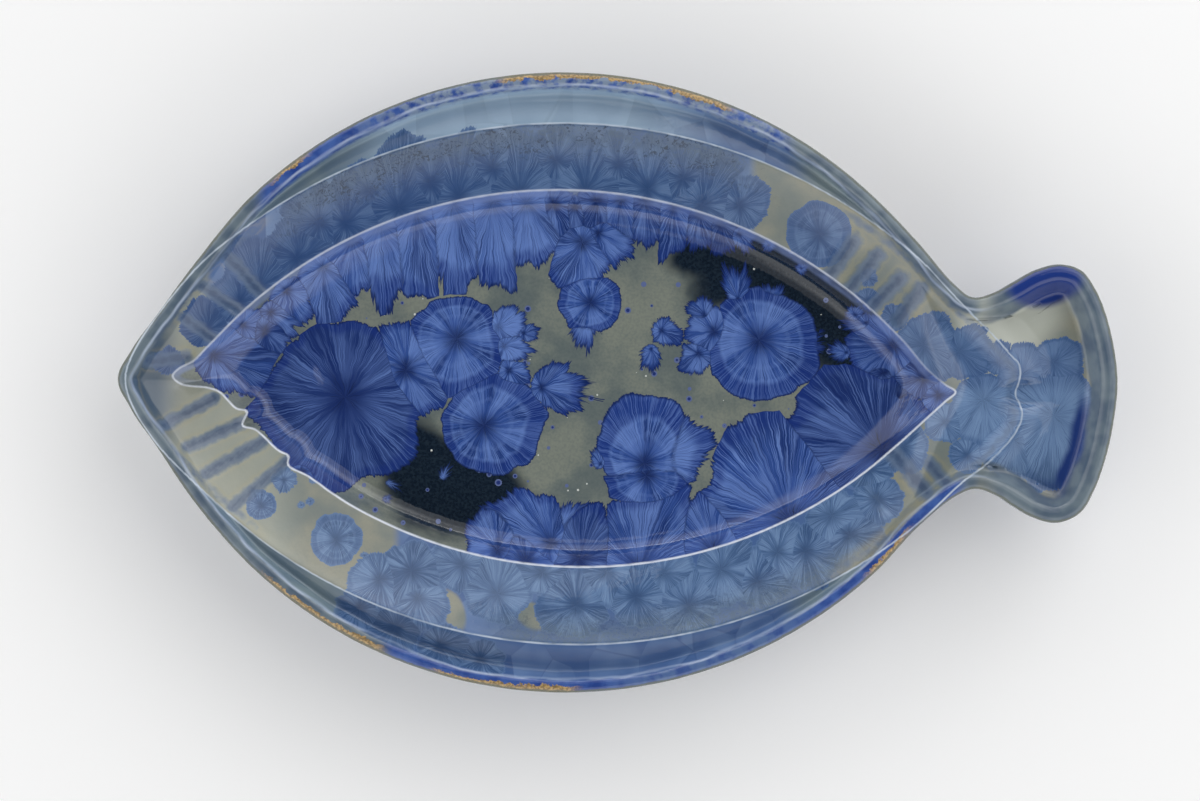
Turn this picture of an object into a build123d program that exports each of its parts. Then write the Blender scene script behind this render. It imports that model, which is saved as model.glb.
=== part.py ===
"""A fish shaped stoneware platter with a thick, glossy crystal glaze.

The platter is built by hand from pieces of clay that are luted together and then glazed:
a leaf shaped dish, two crescent strips laid in it as the flange, a flat tail slab coped to the
dish's end, a coil round the body's edge, a wider coil round the tail's edge, and a foot ring.
The glaze is a coat of glass over the clay. It breaks thin on the clay's edges, so each field
between two edges is a piece of its own.

Frame: +X runs from the nose to the tail, +Z is up, and the foot ring stands on Z = 0.
The origin is below the middle of the platter's length and width. Sizes are in millimetres
and degrees.
"""

import os
from math import asin, cos, degrees, sin, sqrt, tan

from build123d import *

# ---- The body's outline, seen from above, on the outside of the glaze ----
tail_end_x = 165.0
tail_length = 39.6  # from the end of the body's long arcs to the tail's end
body_length = 285.2  # of the long arcs, from where they meet at the nose to where they meet in the tail
body_half_width = 102.4
body_flank_run = 19.3  # over this length the nose has straight sides
body_nose_radius = 10.0
body_end_radius = 12.0  # of the dish's end, under the tail

# ---- The tail's outline ----
tail_shift = -2.0  # the tail sits a little to one side of the centre line
tail_root_length = 65.0  # from the tail's end back to its root in the body
tail_root_half_width = 19.0
tail_corner_half_width = 47.0
tail_corner_back = 16.2  # from the tail's end to its corners
tail_corner_radius = 12.0
tail_waist_radius = 8.5  # of the hollow between body and tail

# ---- Heights, each counted from the one below it ----
foot_height = 6.0
floor_thickness = 6.0
well_depth = 11.5  # from the well's floor to the flange's inner edge
flange_rise = 10.5  # from there to the flange's sharp crest
crest_over_rim = 4.0  # from the top of the dish's wall and of the tail slab to the crest
lip_over_crest = 4.4  # from the crest to the top of the coils

# ---- Dish ----
rim_width = 6.0  # of the flat top of the dish's wall
rim_edge_height = 4.0  # the upright edge of the dish's wall
floor_side_inset = 12.5  # from the well's edge to the flat floor, at the sides
floor_end_inset = 12.5  # and at the two ends
floor_flank_run = 7.6
floor_nose_radius = 8.0
under_grow = 3.0  # how far the flat underside reaches past the flat floor

# ---- Tail slab ----
tail_slab_thickness = 6.0

# ---- Coils ----
body_coil_width = 5.2
tail_coil_width = 10.0
coil_top_width = 3.0
coil_round = 1.4  # rounding of the coils' outer top edge
tail_coil_length = 38.0  # from the tail's end to where the two coils meet

# ---- Flange strips ----
crest_inset = 16.2  # from the body's outline to the crest, at the sides
crest_nose_reach = 7.9  # how far the crest's arcs run on past the body's arcs, at the nose
crest_tail_reach = 10.3  # and at the tail
crest_nose_radius = 22.0
crest_tail_radius = 9.0
gutter_run = 11.0  # how far the flange's outer slope runs out from the crest
gutter_drop = 5.0  # and how far it falls over that run
flange_width = 23.7  # from the crest to the well's edge, at the sides
flange_end_width = 25.8  # and at the two ends
well_shift = 1.4  # the well sits a little to one side of the centre line
well_end_radius = 4.0
well_wall_run = 4.0  # how far the well's wall leans in on its way down to the floor
nose_seam_width = 1.6  # between the two strips at the nose
tail_channel_width = 5.0  # between the two strips at the tail

# ---- Rays pressed into the flange near its ends ----
ray_width = 3.6
ray_depth = 1.2
ray_length = 12.5
ray_spacing = 10.0  # from one ray to the next along the well's edge
rays_in_fan = 4
nose_ray_inset = 4.9  # from the well's nose to the first ray of each fan there
tail_ray_inset = 17.0  # and from the well's tail end

# ---- Foot ring ----
foot_inset = 3.0  # from the flat floor's outline to the ring's
foot_width = 7.0
foot_inner_radius = 5.0  # at the ring's two ends
foot_round = 1.5

# ---- Glaze ----
lip_coat = 0.6  # thickness on the lip, where it runs off
gutter_coat = 1.0
flange_coat = 0.9
well_coat = 1.4  # the pool in the well
tail_coat = 1.0
outside_coat = 0.7
glaze_line_over_foot = 6.0  # height over the foot ring at which the outside glaze stops

# ---- Places that follow from these sizes ----
body_end_x = tail_end_x - tail_length
body_nose_x = body_end_x - body_length
crest_nose_x = body_nose_x - crest_nose_reach
crest_end_x = body_end_x + crest_tail_reach
well_nose_x = crest_nose_x + flange_end_width
well_end_x = crest_end_x - flange_end_width
floor_nose_x = well_nose_x + floor_end_inset
floor_end_x = well_end_x - floor_end_inset
tail_root_x = tail_end_x - tail_root_length
coil_split_x = tail_end_x - tail_coil_length
crest_half_width = body_half_width - crest_inset
well_half_width = crest_half_width - flange_width
floor_half_width = well_half_width - floor_side_inset
floor_height = foot_height + floor_thickness
well_edge_height = floor_height + well_depth
crest_height = well_edge_height + flange_rise
rim_height = crest_height - crest_over_rim
lip_height = crest_height + lip_over_crest
flank_share = 0.9  # the most of a straight side that its nose's rounding may take up
sky = lip_height + tail_end_x  # a height clear over everything
reach = 3.0 * tail_end_x  # a length clear past everything


def leaf(nose_x, end_x, half_width, nose_round, end_round, inset=0.0, flank_run=0.0):
    """A leaf shaped face on Z = 0, moved in by inset: two arcs that meet at both ends, rounded there.

    With a flank run, the nose has straight sides, which leave the arcs at a tangent that far from
    where the arcs would meet.
    """
    apex_x = (nose_x + end_x) / 2
    half_length = (end_x - nose_x) / 2
    full_radius = (half_length**2 + half_width**2) / (2 * half_width)
    centre_y = half_width - full_radius
    radius = full_radius - inset
    arc_half_length = sqrt(radius**2 - centre_y**2)
    end = (apex_x + arc_half_length, 0)
    top = (apex_x, centre_y + radius)
    bottom = (apex_x, -centre_y - radius)
    if flank_run:
        turn = asin((half_length - flank_run) / full_radius)
        leave_x = apex_x - radius * sin(turn)
        leave_y = centre_y + radius * cos(turn)
        nose = (leave_x - leave_y / tan(turn), 0)
        longest_round = leave_y / cos(turn)  # its arc would take up the whole of both straight sides
        nose_round = min(nose_round, flank_share * longest_round + inset)
        sides = [
            Line(nose, (leave_x, leave_y)),
            ThreePointArc((leave_x, leave_y), top, end),
            ThreePointArc(end, bottom, (leave_x, -leave_y)),
            Line((leave_x, -leave_y), nose),
        ]
    else:
        nose = (apex_x - arc_half_length, 0)
        sides = [ThreePointArc(nose, top, end), ThreePointArc(end, bottom, nose)]
    face = make_face(Curve() + sides)
    face = fillet(face.vertices().sort_by(Axis.X)[0], nose_round - inset)
    return fillet(face.vertices().sort_by(Axis.X)[-1], end_round - inset)


def body_face(inset=0.0):
    """The dish's outline at its rim, moved in by inset."""
    ends = (body_nose_x, body_end_x, body_half_width, body_nose_radius, body_end_radius)
    return leaf(*ends, inset, body_flank_run)


def crest_face(grow=0.0):
    """The outline of the flange's crest, moved out by grow."""
    return leaf(crest_nose_x, crest_end_x, crest_half_width, crest_nose_radius, crest_tail_radius, -grow)


def well_face(inset=0.0):
    """The outline of the flange's inner edge, moved in by inset, with its ends as round as before."""
    end_radius = well_end_radius + inset
    face = leaf(well_nose_x, well_end_x, well_half_width, end_radius, end_radius, inset)
    return Pos(0, well_shift, 0) * face


def floor_face(inset=0.0):
    """The outline of the dish's flat floor, moved in by inset."""
    ends = (floor_nose_x, floor_end_x, floor_half_width, floor_nose_radius, floor_nose_radius)
    return leaf(*ends, inset, floor_flank_run)


def foot_face(inset=0.0):
    """The outline of the foot ring, moved in by inset."""
    end_radius = foot_inner_radius + foot_width + foot_inset
    return leaf(floor_nose_x, floor_end_x, floor_half_width, end_radius, end_radius, foot_inset + inset)


def fish_face(inset=0.0):
    """The whole outline, body and tail, moved in by inset."""
    corner_x = tail_end_x - tail_corner_back
    root = (tail_root_x, tail_shift + tail_root_half_width)
    corner = (corner_x, tail_shift + tail_corner_half_width)
    far_corner = (corner_x, tail_shift - tail_corner_half_width)
    far_root = (tail_root_x, tail_shift - tail_root_half_width)
    sides = [
        Line(root, corner),
        ThreePointArc(corner, (tail_end_x, tail_shift), far_corner),
        Line(far_corner, far_root),
        Line(far_root, root),
    ]
    tail = make_face(Curve() + sides)
    tail = fillet(tail.vertices().sort_by(Axis.X)[2:], tail_corner_radius)
    body = body_face()
    known = [v.center() for v in body.vertices() + tail.vertices()]
    fish = body + tail
    waist = [v for v in fish.vertices() if min((v.center() - k).length for k in known) > 0.01]
    fish = fillet(waist, tail_waist_radius)
    return offset(fish, amount=-inset) if inset else fish


def tail_face(inset=0.0):
    """The tail's part of the outline, moved in by inset."""
    return fish_face(inset) & Pos(tail_root_x + reach / 2, 0) * Rectangle(reach, reach)


def prism(face, low, high):
    """The upright solid over a face, from one height to another."""
    return Pos(0, 0, low) * extrude(face, amount=high - low, dir=(0, 0, 1))


def slope(low_face, low, high_face, high):
    """The solid between a face at one height and a face at another, with straight sides."""
    return loft([Pos(0, 0, low) * low_face, Pos(0, 0, high) * high_face], ruled=True)


def tailwards(x):
    """Everything on the tail's side of x."""
    return Pos(x + reach / 2, 0, 0) * Box(reach, reach, reach)


def above(z):
    """Everything above a height."""
    return Pos(0, 0, z + reach / 2) * Box(reach, reach, reach)


# ---- Clay ----
def dish_block(edge_inset, drop=0.0):
    """The dish with its hollow filled, moved down by drop, with its upright edge up to the rim."""
    edge = body_face(edge_inset)
    edge_low = rim_height - rim_edge_height - drop
    under = floor_face(-under_grow)
    return slope(under, foot_height - drop, edge, edge_low) + prism(edge, edge_low, rim_height)


def dish_hollow():
    """The space inside the dish, up to its rim."""
    return slope(floor_face(), floor_height, body_face(rim_width), rim_height)


def tail_block(edge_inset, drop=0.0):
    """The slab of the tail and of the waist, which runs on under the dish's edge."""
    slab = prism(fish_face(edge_inset), rim_height - tail_slab_thickness - drop, rim_height)
    return slab & tailwards(tail_root_x)


def edge_block(inset, high, rounding):
    """The whole outline as a block on the rim, with its top edge rounded."""
    block = prism(fish_face(inset), rim_height, high)
    return fillet(block.edges().group_by(Axis.Z)[-1], rounding)


def coil_ring(inner_face, width):
    """A ring on the rim, round the whole outline, with an upright outside and a leaning inside."""
    inner = slope(inner_face(lip_coat + width), rim_height, inner_face(lip_coat + coil_top_width), lip_height)
    return edge_block(lip_coat, lip_height, coil_round) - inner


def flange_mound():
    """A solid with the flange's outer slope all round, up to the crest."""
    low = crest_height - gutter_drop
    toe = crest_face(gutter_run)
    return slope(toe, low, crest_face(), crest_height) + prism(toe, 0, low)


def flange_hollow():
    """The space over the flange's inner slope and inside the well's wall."""
    well = slope(well_face(well_wall_run), floor_height, well_face(), well_edge_height)
    bowl = slope(well_face(), well_edge_height, crest_face(), crest_height)
    return well + bowl + prism(crest_face(), crest_height, sky)


def strip_gaps():
    """The seam between the two strips at the nose and the channel between them at the tail."""
    seam = Pos(-reach / 2, 0, 0) * Box(reach, nose_seam_width, reach)
    channel = Pos(reach / 2, tail_shift, 0) * Box(reach, tail_channel_width, reach)
    return seam + channel


def upper_half():
    """Everything on the upper side of the middle of the seam and of the channel."""
    nose_side = Pos(-reach / 2, reach / 2, 0) * Box(reach, reach, reach)
    tail_side = Pos(reach / 2, tail_shift + reach / 2, 0) * Box(reach, reach, reach)
    return nose_side + tail_side


def ray_bars():
    """Upright bars that cross the flange at a right angle to the well's edge, in a fan at each end."""
    half_length = (well_end_x - well_nose_x) / 2
    well_radius = (half_length**2 + well_half_width**2) / (2 * well_half_width)
    well_centre = Pos((well_nose_x + well_end_x) / 2, well_half_width - well_radius, 0)
    start = well_radius - ray_width  # the rays also notch the edge of the well
    bar = Pos(0, start + ray_length / 2, 0) * Box(ray_width, ray_length, reach)
    step = degrees(ray_spacing / well_radius)
    bars = Part()
    for inset, way in ((nose_ray_inset, -1), (tail_ray_inset, 1)):
        first = degrees(asin((half_length - inset) / well_radius))
        for i in range(rays_in_fan):
            turned = well_centre * Rot(0, 0, way * (i * step - first)) * bar
            bars += turned + mirror(turned, about=Plane.XZ)
    return Pos(0, well_shift, 0) * bars


def make_foot_ring():
    ring = prism(foot_face(), 0, foot_height) - prism(foot_face(foot_width), 0, foot_height)
    return fillet(ring.edges().group_by(Axis.Z)[0], foot_round)


# ---- All pieces ----
def make_pieces():
    """Every piece by name. Each takes what the ones before it leave free, so all meet face to face."""
    tail_zone = tailwards(coil_split_x)
    body_coil = coil_ring(fish_face, body_coil_width) - tail_zone
    tail_coil = coil_ring(tail_face, tail_coil_width) & tail_zone

    # The space over the dish and the slab, between the coils, before the strips are laid in it.
    inside = dish_hollow() + prism(fish_face(lip_coat), rim_height, sky) - body_coil - tail_coil
    smooth_strips = (inside & flange_mound()) - flange_hollow() - strip_gaps()
    strips = smooth_strips - ((Pos(0, 0, -ray_depth) * flange_hollow()) & ray_bars())

    # Each coat fills the free space under a copy of that space, without rays, lifted by its thickness.
    lip_zone = prism(fish_face(lip_coat + coil_top_width), 0, lip_height + lip_coat)
    crest_zone = prism(crest_face(), 0, sky) & lip_zone
    well_zone = prism(well_face(), 0, sky)
    smooth_space = inside - smooth_strips
    free_space = inside - strips
    flange_layer = (free_space & crest_zone) - well_zone - Pos(0, 0, flange_coat) * smooth_space
    gutter_space = (free_space & lip_zone) - crest_zone
    gutter_layer = gutter_space - tail_zone - Pos(0, 0, gutter_coat) * smooth_space
    tray_layer = (gutter_space & tail_zone) - Pos(0, 0, tail_coat) * smooth_space
    lip_layer = edge_block(0, lip_height + lip_coat, coil_round + lip_coat) - lip_zone - body_coil - tail_coil
    glaze_line = foot_height + glaze_line_over_foot
    outside = (dish_block(0, outside_coat) + tail_block(0, outside_coat)) & above(glaze_line)

    return {
        "base_dish": dish_block(lip_coat) - dish_hollow(),
        "upper_flange": strips & upper_half(),
        "lower_flange": strips - upper_half(),
        "tail_slab": tail_block(lip_coat) - dish_block(lip_coat),
        "body_coil": body_coil,
        "tail_coil": tail_coil,
        "foot_ring": make_foot_ring(),
        "well_glaze": (free_space & well_zone) - Pos(0, 0, well_coat) * smooth_space,
        "upper_flange_glaze": flange_layer & upper_half(),
        "lower_flange_glaze": flange_layer - upper_half(),
        "rim_glaze": gutter_layer + (lip_layer - tail_zone),
        "tail_glaze": tray_layer + (lip_layer & tail_zone),
        "outside_glaze": outside - dish_block(lip_coat) - tail_block(lip_coat),
    }


if __name__ == "__main__":
    os.makedirs("parts", exist_ok=True)
    for name, piece in make_pieces().items():
        export_step(piece, f"parts/{name}.step")
        print(name, round(piece.volume / 1000, 2), "cm3", len(piece.solids()), "solids")
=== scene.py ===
"""A fish shaped stoneware platter under a thick crystal glaze, seen from straight above.

The clay pieces and the two coats of glaze are modelled as closed shells over a few closed
outlines: the platter's silhouette, the flange's crest and the edge of the well. Every height on
the inside follows from the distances to these outlines, so glaze and clay always fit each other.
The glaze's colours come from distances that the mesh carries, and from crystals that grow round
listed seeds. The platter's lengths are millimetres until a mesh is made, which is in metres,
as the studio round it is.
"""

import logging
import math
from collections.abc import Iterable
from dataclasses import dataclass, field
from enum import Enum
from functools import reduce

import bpy
import numpy as np
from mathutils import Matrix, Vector, kdtree, noise


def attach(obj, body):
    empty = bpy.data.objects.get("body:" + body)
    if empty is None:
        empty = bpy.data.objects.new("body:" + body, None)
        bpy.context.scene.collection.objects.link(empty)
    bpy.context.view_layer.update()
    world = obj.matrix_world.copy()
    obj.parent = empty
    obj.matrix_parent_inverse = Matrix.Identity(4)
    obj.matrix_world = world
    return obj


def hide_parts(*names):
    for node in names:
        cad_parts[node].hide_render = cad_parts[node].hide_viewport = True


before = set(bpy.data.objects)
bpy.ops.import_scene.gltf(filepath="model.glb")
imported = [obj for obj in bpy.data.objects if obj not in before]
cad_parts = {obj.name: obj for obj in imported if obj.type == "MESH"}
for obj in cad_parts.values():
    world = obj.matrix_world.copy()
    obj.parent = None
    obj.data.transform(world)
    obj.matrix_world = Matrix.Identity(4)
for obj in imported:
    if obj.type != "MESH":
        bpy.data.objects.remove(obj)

log = logging.getLogger("platter")
MM = 0.001

# ---- The photograph's frame ----
PHOTO_SIZE = (1200, 801)
MM_PER_PIXEL = 0.33
ORIGIN_PIXEL = (618.0, 383.2)
CAMERA_ROLL = math.radians(0.49)
CAMERA_DISTANCE = 3000.0
SENSOR_WIDTH = 36.0

# ---- Heights over the table, on the glaze ----
LIP_TOP = 39.0
COAT_EDGE = 30.6  # where the inside coat and the outside coat meet on the lip's outer wall
GUTTER = 31.0
CREST = 34.5
WELL_EDGE = 24.4
WELL_FLOOR = 13.4
GLAZE_LINE = 12.0  # the lower edge of the outside coat
FOOT_TOP = 6.0
DISH_EDGE = 26.0  # the lower edge of the dish's upright wall
SLAB_UNDERSIDE = 23.4
DISH_FLOOR = 12.0
DISH_RIM = 30.0

CARRIED = ("inset", "crest", "well", "pool")  # what the inside glaze's mesh carries for its colours

Ring = np.ndarray  # points round the platter, one row each
Profile = tuple[tuple[float, float], ...]  # an inset, and the height or drop that it has


def photo_point(px: float, py: float) -> tuple[float, float]:
    """The place on the platter, seen from above, that a pixel of the photograph shows.

    Args:
        px: the pixel, counted from the left.
        py: the pixel, counted from the top.

    Returns:
        The place in millimetres.
    """
    dx, dy = px - ORIGIN_PIXEL[0], py - ORIGIN_PIXEL[1]
    turn_x, turn_y = math.cos(CAMERA_ROLL), math.sin(CAMERA_ROLL)
    return (dx * turn_x + dy * turn_y) * MM_PER_PIXEL, (dx * turn_y - dy * turn_x) * MM_PER_PIXEL


def soft_max(a: np.ndarray, b: np.ndarray, width: float) -> np.ndarray:
    """The higher of two heights, with a fillet of about this width where they cross."""
    return (a + b + np.sqrt((a - b) ** 2 + width**2)) / 2


def soft_min(a: np.ndarray, b: np.ndarray, width: float) -> np.ndarray:
    """The lower of two heights, rounded where they cross."""
    return (a + b - np.sqrt((a - b) ** 2 + width**2)) / 2


def smooth_step(low: float, high: float, value: np.ndarray) -> np.ndarray:
    """A rise from 0 at low to 1 at high, level at both ends."""
    t = np.clip((value - low) / (high - low), 0.0, 1.0)
    return t * t * (3.0 - 2.0 * t)


def ripple(points: np.ndarray, wavelength: float, seed: float) -> np.ndarray:
    """Smooth noise between about -1 and 1 at each point, seen from above."""
    spots = ((Vector((x, y, 0.0)) / wavelength + Vector((seed, -seed, seed))) for x, y in points[:, :2])
    return np.array([noise.noise(spot) for spot in spots])


# ---------------------------------------------------------------------------
# Outlines
# ---------------------------------------------------------------------------
class Side(Enum):
    """The two sides of the platter, as the photograph shows them."""

    UPPER = 1
    LOWER = -1


@dataclass(frozen=True)
class Arc:
    """The long round stretch of one side of an outline."""

    centre: tuple[float, float]
    radius: float
    nose_x: float
    tail_x: float

    def points(self, side: Side, step: float = 12.0) -> list[tuple[float, float]]:
        """Points along the arc from the tail to the nose.

        Args:
            side: the side that the arc is on.
            step: about how far apart they are.

        Returns:
            The points in order.
        """
        count = int((self.tail_x - self.nose_x) / step)
        xs = np.linspace(self.tail_x, self.nose_x, count)
        rise = np.sqrt(self.radius**2 - (xs - self.centre[0]) ** 2)
        return list(zip(xs, self.centre[1] + side.value * rise))


def through(points: list[tuple[float, float]], step: float = 0.5) -> np.ndarray:
    """A smooth closed line through the points, sampled evenly.

    Args:
        points: the points in order. The line passes through each and closes on the first.
        step: the distance between samples.

    Returns:
        The samples, one row each, starting at the first point.
    """
    knots = np.array(points)
    count = len(knots)
    pieces = []
    for i in range(count):
        p0, p1, p2, p3 = (knots[(i + k) % count] for k in (-1, 0, 1, 2))
        gaps = [math.sqrt(math.dist(a, b)) for a, b in ((p0, p1), (p1, p2), (p2, p3))]
        start = (p1 - p0) / gaps[0] - (p2 - p0) / (gaps[0] + gaps[1]) + (p2 - p1) / gaps[1]
        end = (p2 - p1) / gaps[1] - (p3 - p1) / (gaps[1] + gaps[2]) + (p3 - p2) / gaps[2]
        start, end = start * gaps[1], end * gaps[1]
        t = np.linspace(0.0, 1.0, 40, endpoint=False)[:, None]
        pieces.append(
            (2 * t**3 - 3 * t**2 + 1) * p1
            + (t**3 - 2 * t**2 + t) * start
            + (3 * t**2 - 2 * t**3) * p2
            + (t**3 - t**2) * end
        )
    line = np.vstack(pieces + [knots[:1]])
    along = np.concatenate([[0.0], np.cumsum(np.linalg.norm(np.diff(line, axis=0), axis=1))])
    spots = np.linspace(0.0, along[-1], int(along[-1] / step), endpoint=False)
    return np.column_stack([np.interp(spots, along, line[:, k]) for k in (0, 1)])


@dataclass
class Outline:
    """A closed line round the platter, from the tail's middle over the upper side to the nose and back.

    Args:
        tail_upper: points from the tail's middle to the upper arc.
        upper: the long arc of the upper side.
        nose: points round the nose, from the upper arc to the lower one.
        lower: the long arc of the lower side.
        tail_lower: points from the lower arc back to the tail's middle.
        split_x: where the tail's stretch ends on both sides and the body's begins.
    """

    tail_upper: list[tuple[float, float]]
    upper: Arc
    nose: list[tuple[float, float]]
    lower: Arc
    tail_lower: list[tuple[float, float]]
    split_x: float
    line: np.ndarray = field(init=False)
    inward: np.ndarray = field(init=False)
    tree: kdtree.KDTree = field(init=False)

    def __post_init__(self) -> None:
        """Samples the line, and finds its inward directions and a search tree of its samples."""
        upper, lower = self.upper.points(Side.UPPER), self.lower.points(Side.LOWER)[::-1]
        self.line = through(self.tail_upper + upper + self.nose + lower + self.tail_lower)
        along = np.roll(self.line, -2, axis=0) - np.roll(self.line, 2, axis=0)
        along /= np.linalg.norm(along, axis=1)[:, None]
        self.inward = np.column_stack([-along[:, 1], along[:, 0]])
        self.tree = kdtree.KDTree(len(self.line))
        for i, (x, y) in enumerate(self.line):
            self.tree.insert((x, y, 0.0), i)
        self.tree.balance()

    def stations(self, tail_count: int, body_count: int) -> np.ndarray:
        """Places along the line, as fractions of a sample, at which rings of a mesh have their points.

        They lie closer together towards both ends of the body, where the flange's grooves are.

        Args:
            tail_count: how many there are on each side of the tail.
            body_count: how many there are on each side of the body.

        Returns:
            The places in order.
        """
        count = len(self.line)
        nose = int(np.argmin(self.line[:, 0]))
        upper = int(np.argmax(self.line[:nose, 0] < self.split_x))
        lower = nose + int(np.argmax(self.line[nose:, 0] > self.split_x))
        t = np.linspace(0.0, 1.0, body_count, endpoint=False)
        crowded = t - 0.06 * np.sin(2 * math.pi * t)
        even = np.linspace(0.0, 1.0, tail_count, endpoint=False)
        return np.concatenate([
            even * upper,
            upper + crowded * (nose - upper),
            nose + crowded * (lower - nose),
            lower + even * (count - lower),
        ])

    def ring(self, stations: np.ndarray, inset: np.ndarray | float = 0.0) -> np.ndarray:
        """The points at these stations, moved inwards.

        Args:
            stations: the places along the line.
            inset: how far they are moved.

        Returns:
            The points, one row each.
        """
        count = len(self.line)
        low = np.floor(stations).astype(int) % count
        part = (stations - np.floor(stations))[:, None]
        after = (low + 1) % count
        at = self.line[low] * (1 - part) + self.line[after] * part
        inward = self.inward[low] * (1 - part) + self.inward[after] * part
        return at + inward * np.broadcast_to(np.asarray(inset, float), len(at))[:, None]

    def inset(self, points: np.ndarray) -> np.ndarray:
        """How far inside the line each point lies.

        Args:
            points: the points, one row each.

        Returns:
            The distances, negative outside the line.
        """
        found = np.array([self.tree.find((x, y, 0.0))[1] for x, y in points[:, :2]])
        gap = points[:, :2] - self.line[found]
        side = np.sign(np.einsum("ij,ij->i", gap, self.inward[found]))
        return side * np.linalg.norm(gap, axis=1)


def silhouette() -> Outline:
    """The platter's outer edge.

    Returns:
        The outline.
    """
    return Outline(
        tail_upper=[(165.0, 0.8), (164.3, 9.7), (161.3, 23.0), (157.6, 32.0), (152.6, 38.6), (145.2, 40.5),
                    (137.3, 38.5), (130.1, 34.5), (123.4, 30.8), (116.8, 29.4), (110.6, 33.8), (99.3, 46.6)],
        upper=Arc((-18.0, -46.8), 149.3, -124.0, 86.0),
        nose=[(-139.2, 39.6), (-152.2, 21.7), (-160.8, 9.6), (-165.2, 0.0), (-160.8, -9.8), (-152.2, -22.2),
              (-139.2, -40.8)],
        lower=Arc((-17.5, 48.5), 150.8, -124.0, 86.0),
        tail_lower=[(99.3, -46.8), (111.2, -36.8), (118.1, -33.9), (125.0, -35.9), (130.4, -39.3),
                    (137.4, -43.2), (145.3, -44.9), (152.9, -41.6), (157.4, -34.4), (161.9, -21.0),
                    (164.4, -7.0)],
        split_x=117.0,
    )


def crest_line() -> Outline:
    """The flange's sharp crest, which turns round the two lobes at the tail.

    Returns:
        The outline.
    """
    return Outline(
        tail_upper=[(131.6, -2.4), (132.7, 2.2), (132.6, 7.0), (129.6, 10.6), (122.0, 18.8), (113.2, 27.3)],
        upper=Arc((-17.5, -90.8), 176.6, -138.0, 100.0),
        nose=[(-152.5, 20.8), (-160.6, 7.6), (-162.6, 0.0), (-160.6, -8.0), (-152.0, -21.4)],
        lower=Arc((-13.8, 90.1), 176.6, -138.0, 100.0),
        tail_lower=[(114.1, -31.6), (121.6, -26.1), (126.9, -20.9), (131.2, -15.6), (133.6, -10.0),
                    (133.0, -6.0)],
        split_x=112.0,
    )


def well_line() -> Outline:
    """The flange's inner edge, over the well.

    Returns:
        The outline.
    """
    return Outline(
        tail_upper=[(111.8, -1.9), (108.6, 0.4), (102.6, 5.4)],
        upper=Arc((-19.1, -92.0), 155.9, -136.0, 94.0),
        nose=[(-140.8, 6.2), (-145.6, 3.6), (-147.6, 1.1), (-144.9, -1.4), (-136.0, -2.6), (-132.2, -3.9),
              (-126.4, -9.4), (-122.9, -10.3), (-124.4, -15.0), (-120.2, -16.3), (-112.4, -23.2),
              (-109.0, -25.0), (-109.2, -28.0), (-102.6, -31.6), (-93.0, -38.2)],
        lower=Arc((-12.4, 93.6), 154.6, -86.0, 94.0),
        tail_lower=[(102.6, -10.6), (108.4, -5.2)],
        split_x=98.0,
    )


def floor_line() -> Outline:
    """The edge of the dish's flat floor."""
    return leaf_line(-125.8, 94.0, 50.0, 3.0)


def foot_line() -> Outline:
    """The foot ring's outer edge."""
    return leaf_line(-120.2, 87.9, 47.0, 6.0)


def under_line() -> Outline:
    """The edge of the dish's flat underside."""
    return leaf_line(-128.8, 97.0, 53.0, 3.0)


def dish_line() -> Outline:
    """The dish's own edge, which the tail slab is coped to.

    Returns:
        The outline.
    """
    return Outline(
        tail_upper=[(121.0, 0.0), (119.6, 7.0), (113.6, 17.6)],
        upper=Arc((-17.2, -48.1), 150.5, -124.0, 100.0),
        nose=[(-139.2, 39.6), (-152.2, 21.7), (-160.8, 9.6), (-165.0, 0.0), (-160.8, -9.8), (-152.2, -22.2),
              (-139.2, -40.8)],
        lower=Arc((-17.2, 48.1), 150.5, -124.0, 100.0),
        tail_lower=[(113.6, -17.6), (119.6, -7.0)],
        split_x=108.0,
    )


def leaf_line(nose_x: float, tail_x: float, half_width: float, tip: float) -> Outline:
    """A leaf shaped outline.

    Args:
        nose_x: where it ends at the nose.
        tail_x: where it ends at the tail.
        half_width: half its width.
        tip: about how round its ends are.

    Returns:
        The outline.
    """
    middle, half = (nose_x + tail_x) / 2, (tail_x - nose_x) / 2 + tip
    radius = (half**2 + half_width**2) / (2 * half_width)
    reach = half - 4 * tip
    arcs = [Arc((middle, side.value * (half_width - radius)), radius, middle - reach, middle + reach)
            for side in Side]
    return Outline([(tail_x, 0.0)], arcs[0], [(nose_x, 0.0)], arcs[1], [], tail_x - 5 * tip)


# ---------------------------------------------------------------------------
# The shape of the inside
# ---------------------------------------------------------------------------
@dataclass(frozen=True)
class Groove:
    """A straight groove pressed into the soft clay of the flange, between two pixels of the photograph."""

    start: tuple[float, float]
    end: tuple[float, float]
    width: float = 3.6
    depth: float = 1.1

    def depth_at(self, points: np.ndarray, spread: float) -> np.ndarray:
        """How deep the groove is at each point.

        Args:
            points: places seen from above, one row each.
            spread: how many times wider it counts than it is.

        Returns:
            The depth as a share of a full groove's.
        """
        a, b = np.array(photo_point(*self.start)), np.array(photo_point(*self.end))
        run = b - a
        along = np.clip((points[:, :2] - a) @ run / (run @ run), 0.0, 1.0)
        gap = np.linalg.norm(points[:, :2] - a - along[:, None] * run, axis=1)
        return self.depth / 1.1 * np.exp(-((gap / (self.width * spread / 2)) ** 2) * 1.2)


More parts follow.
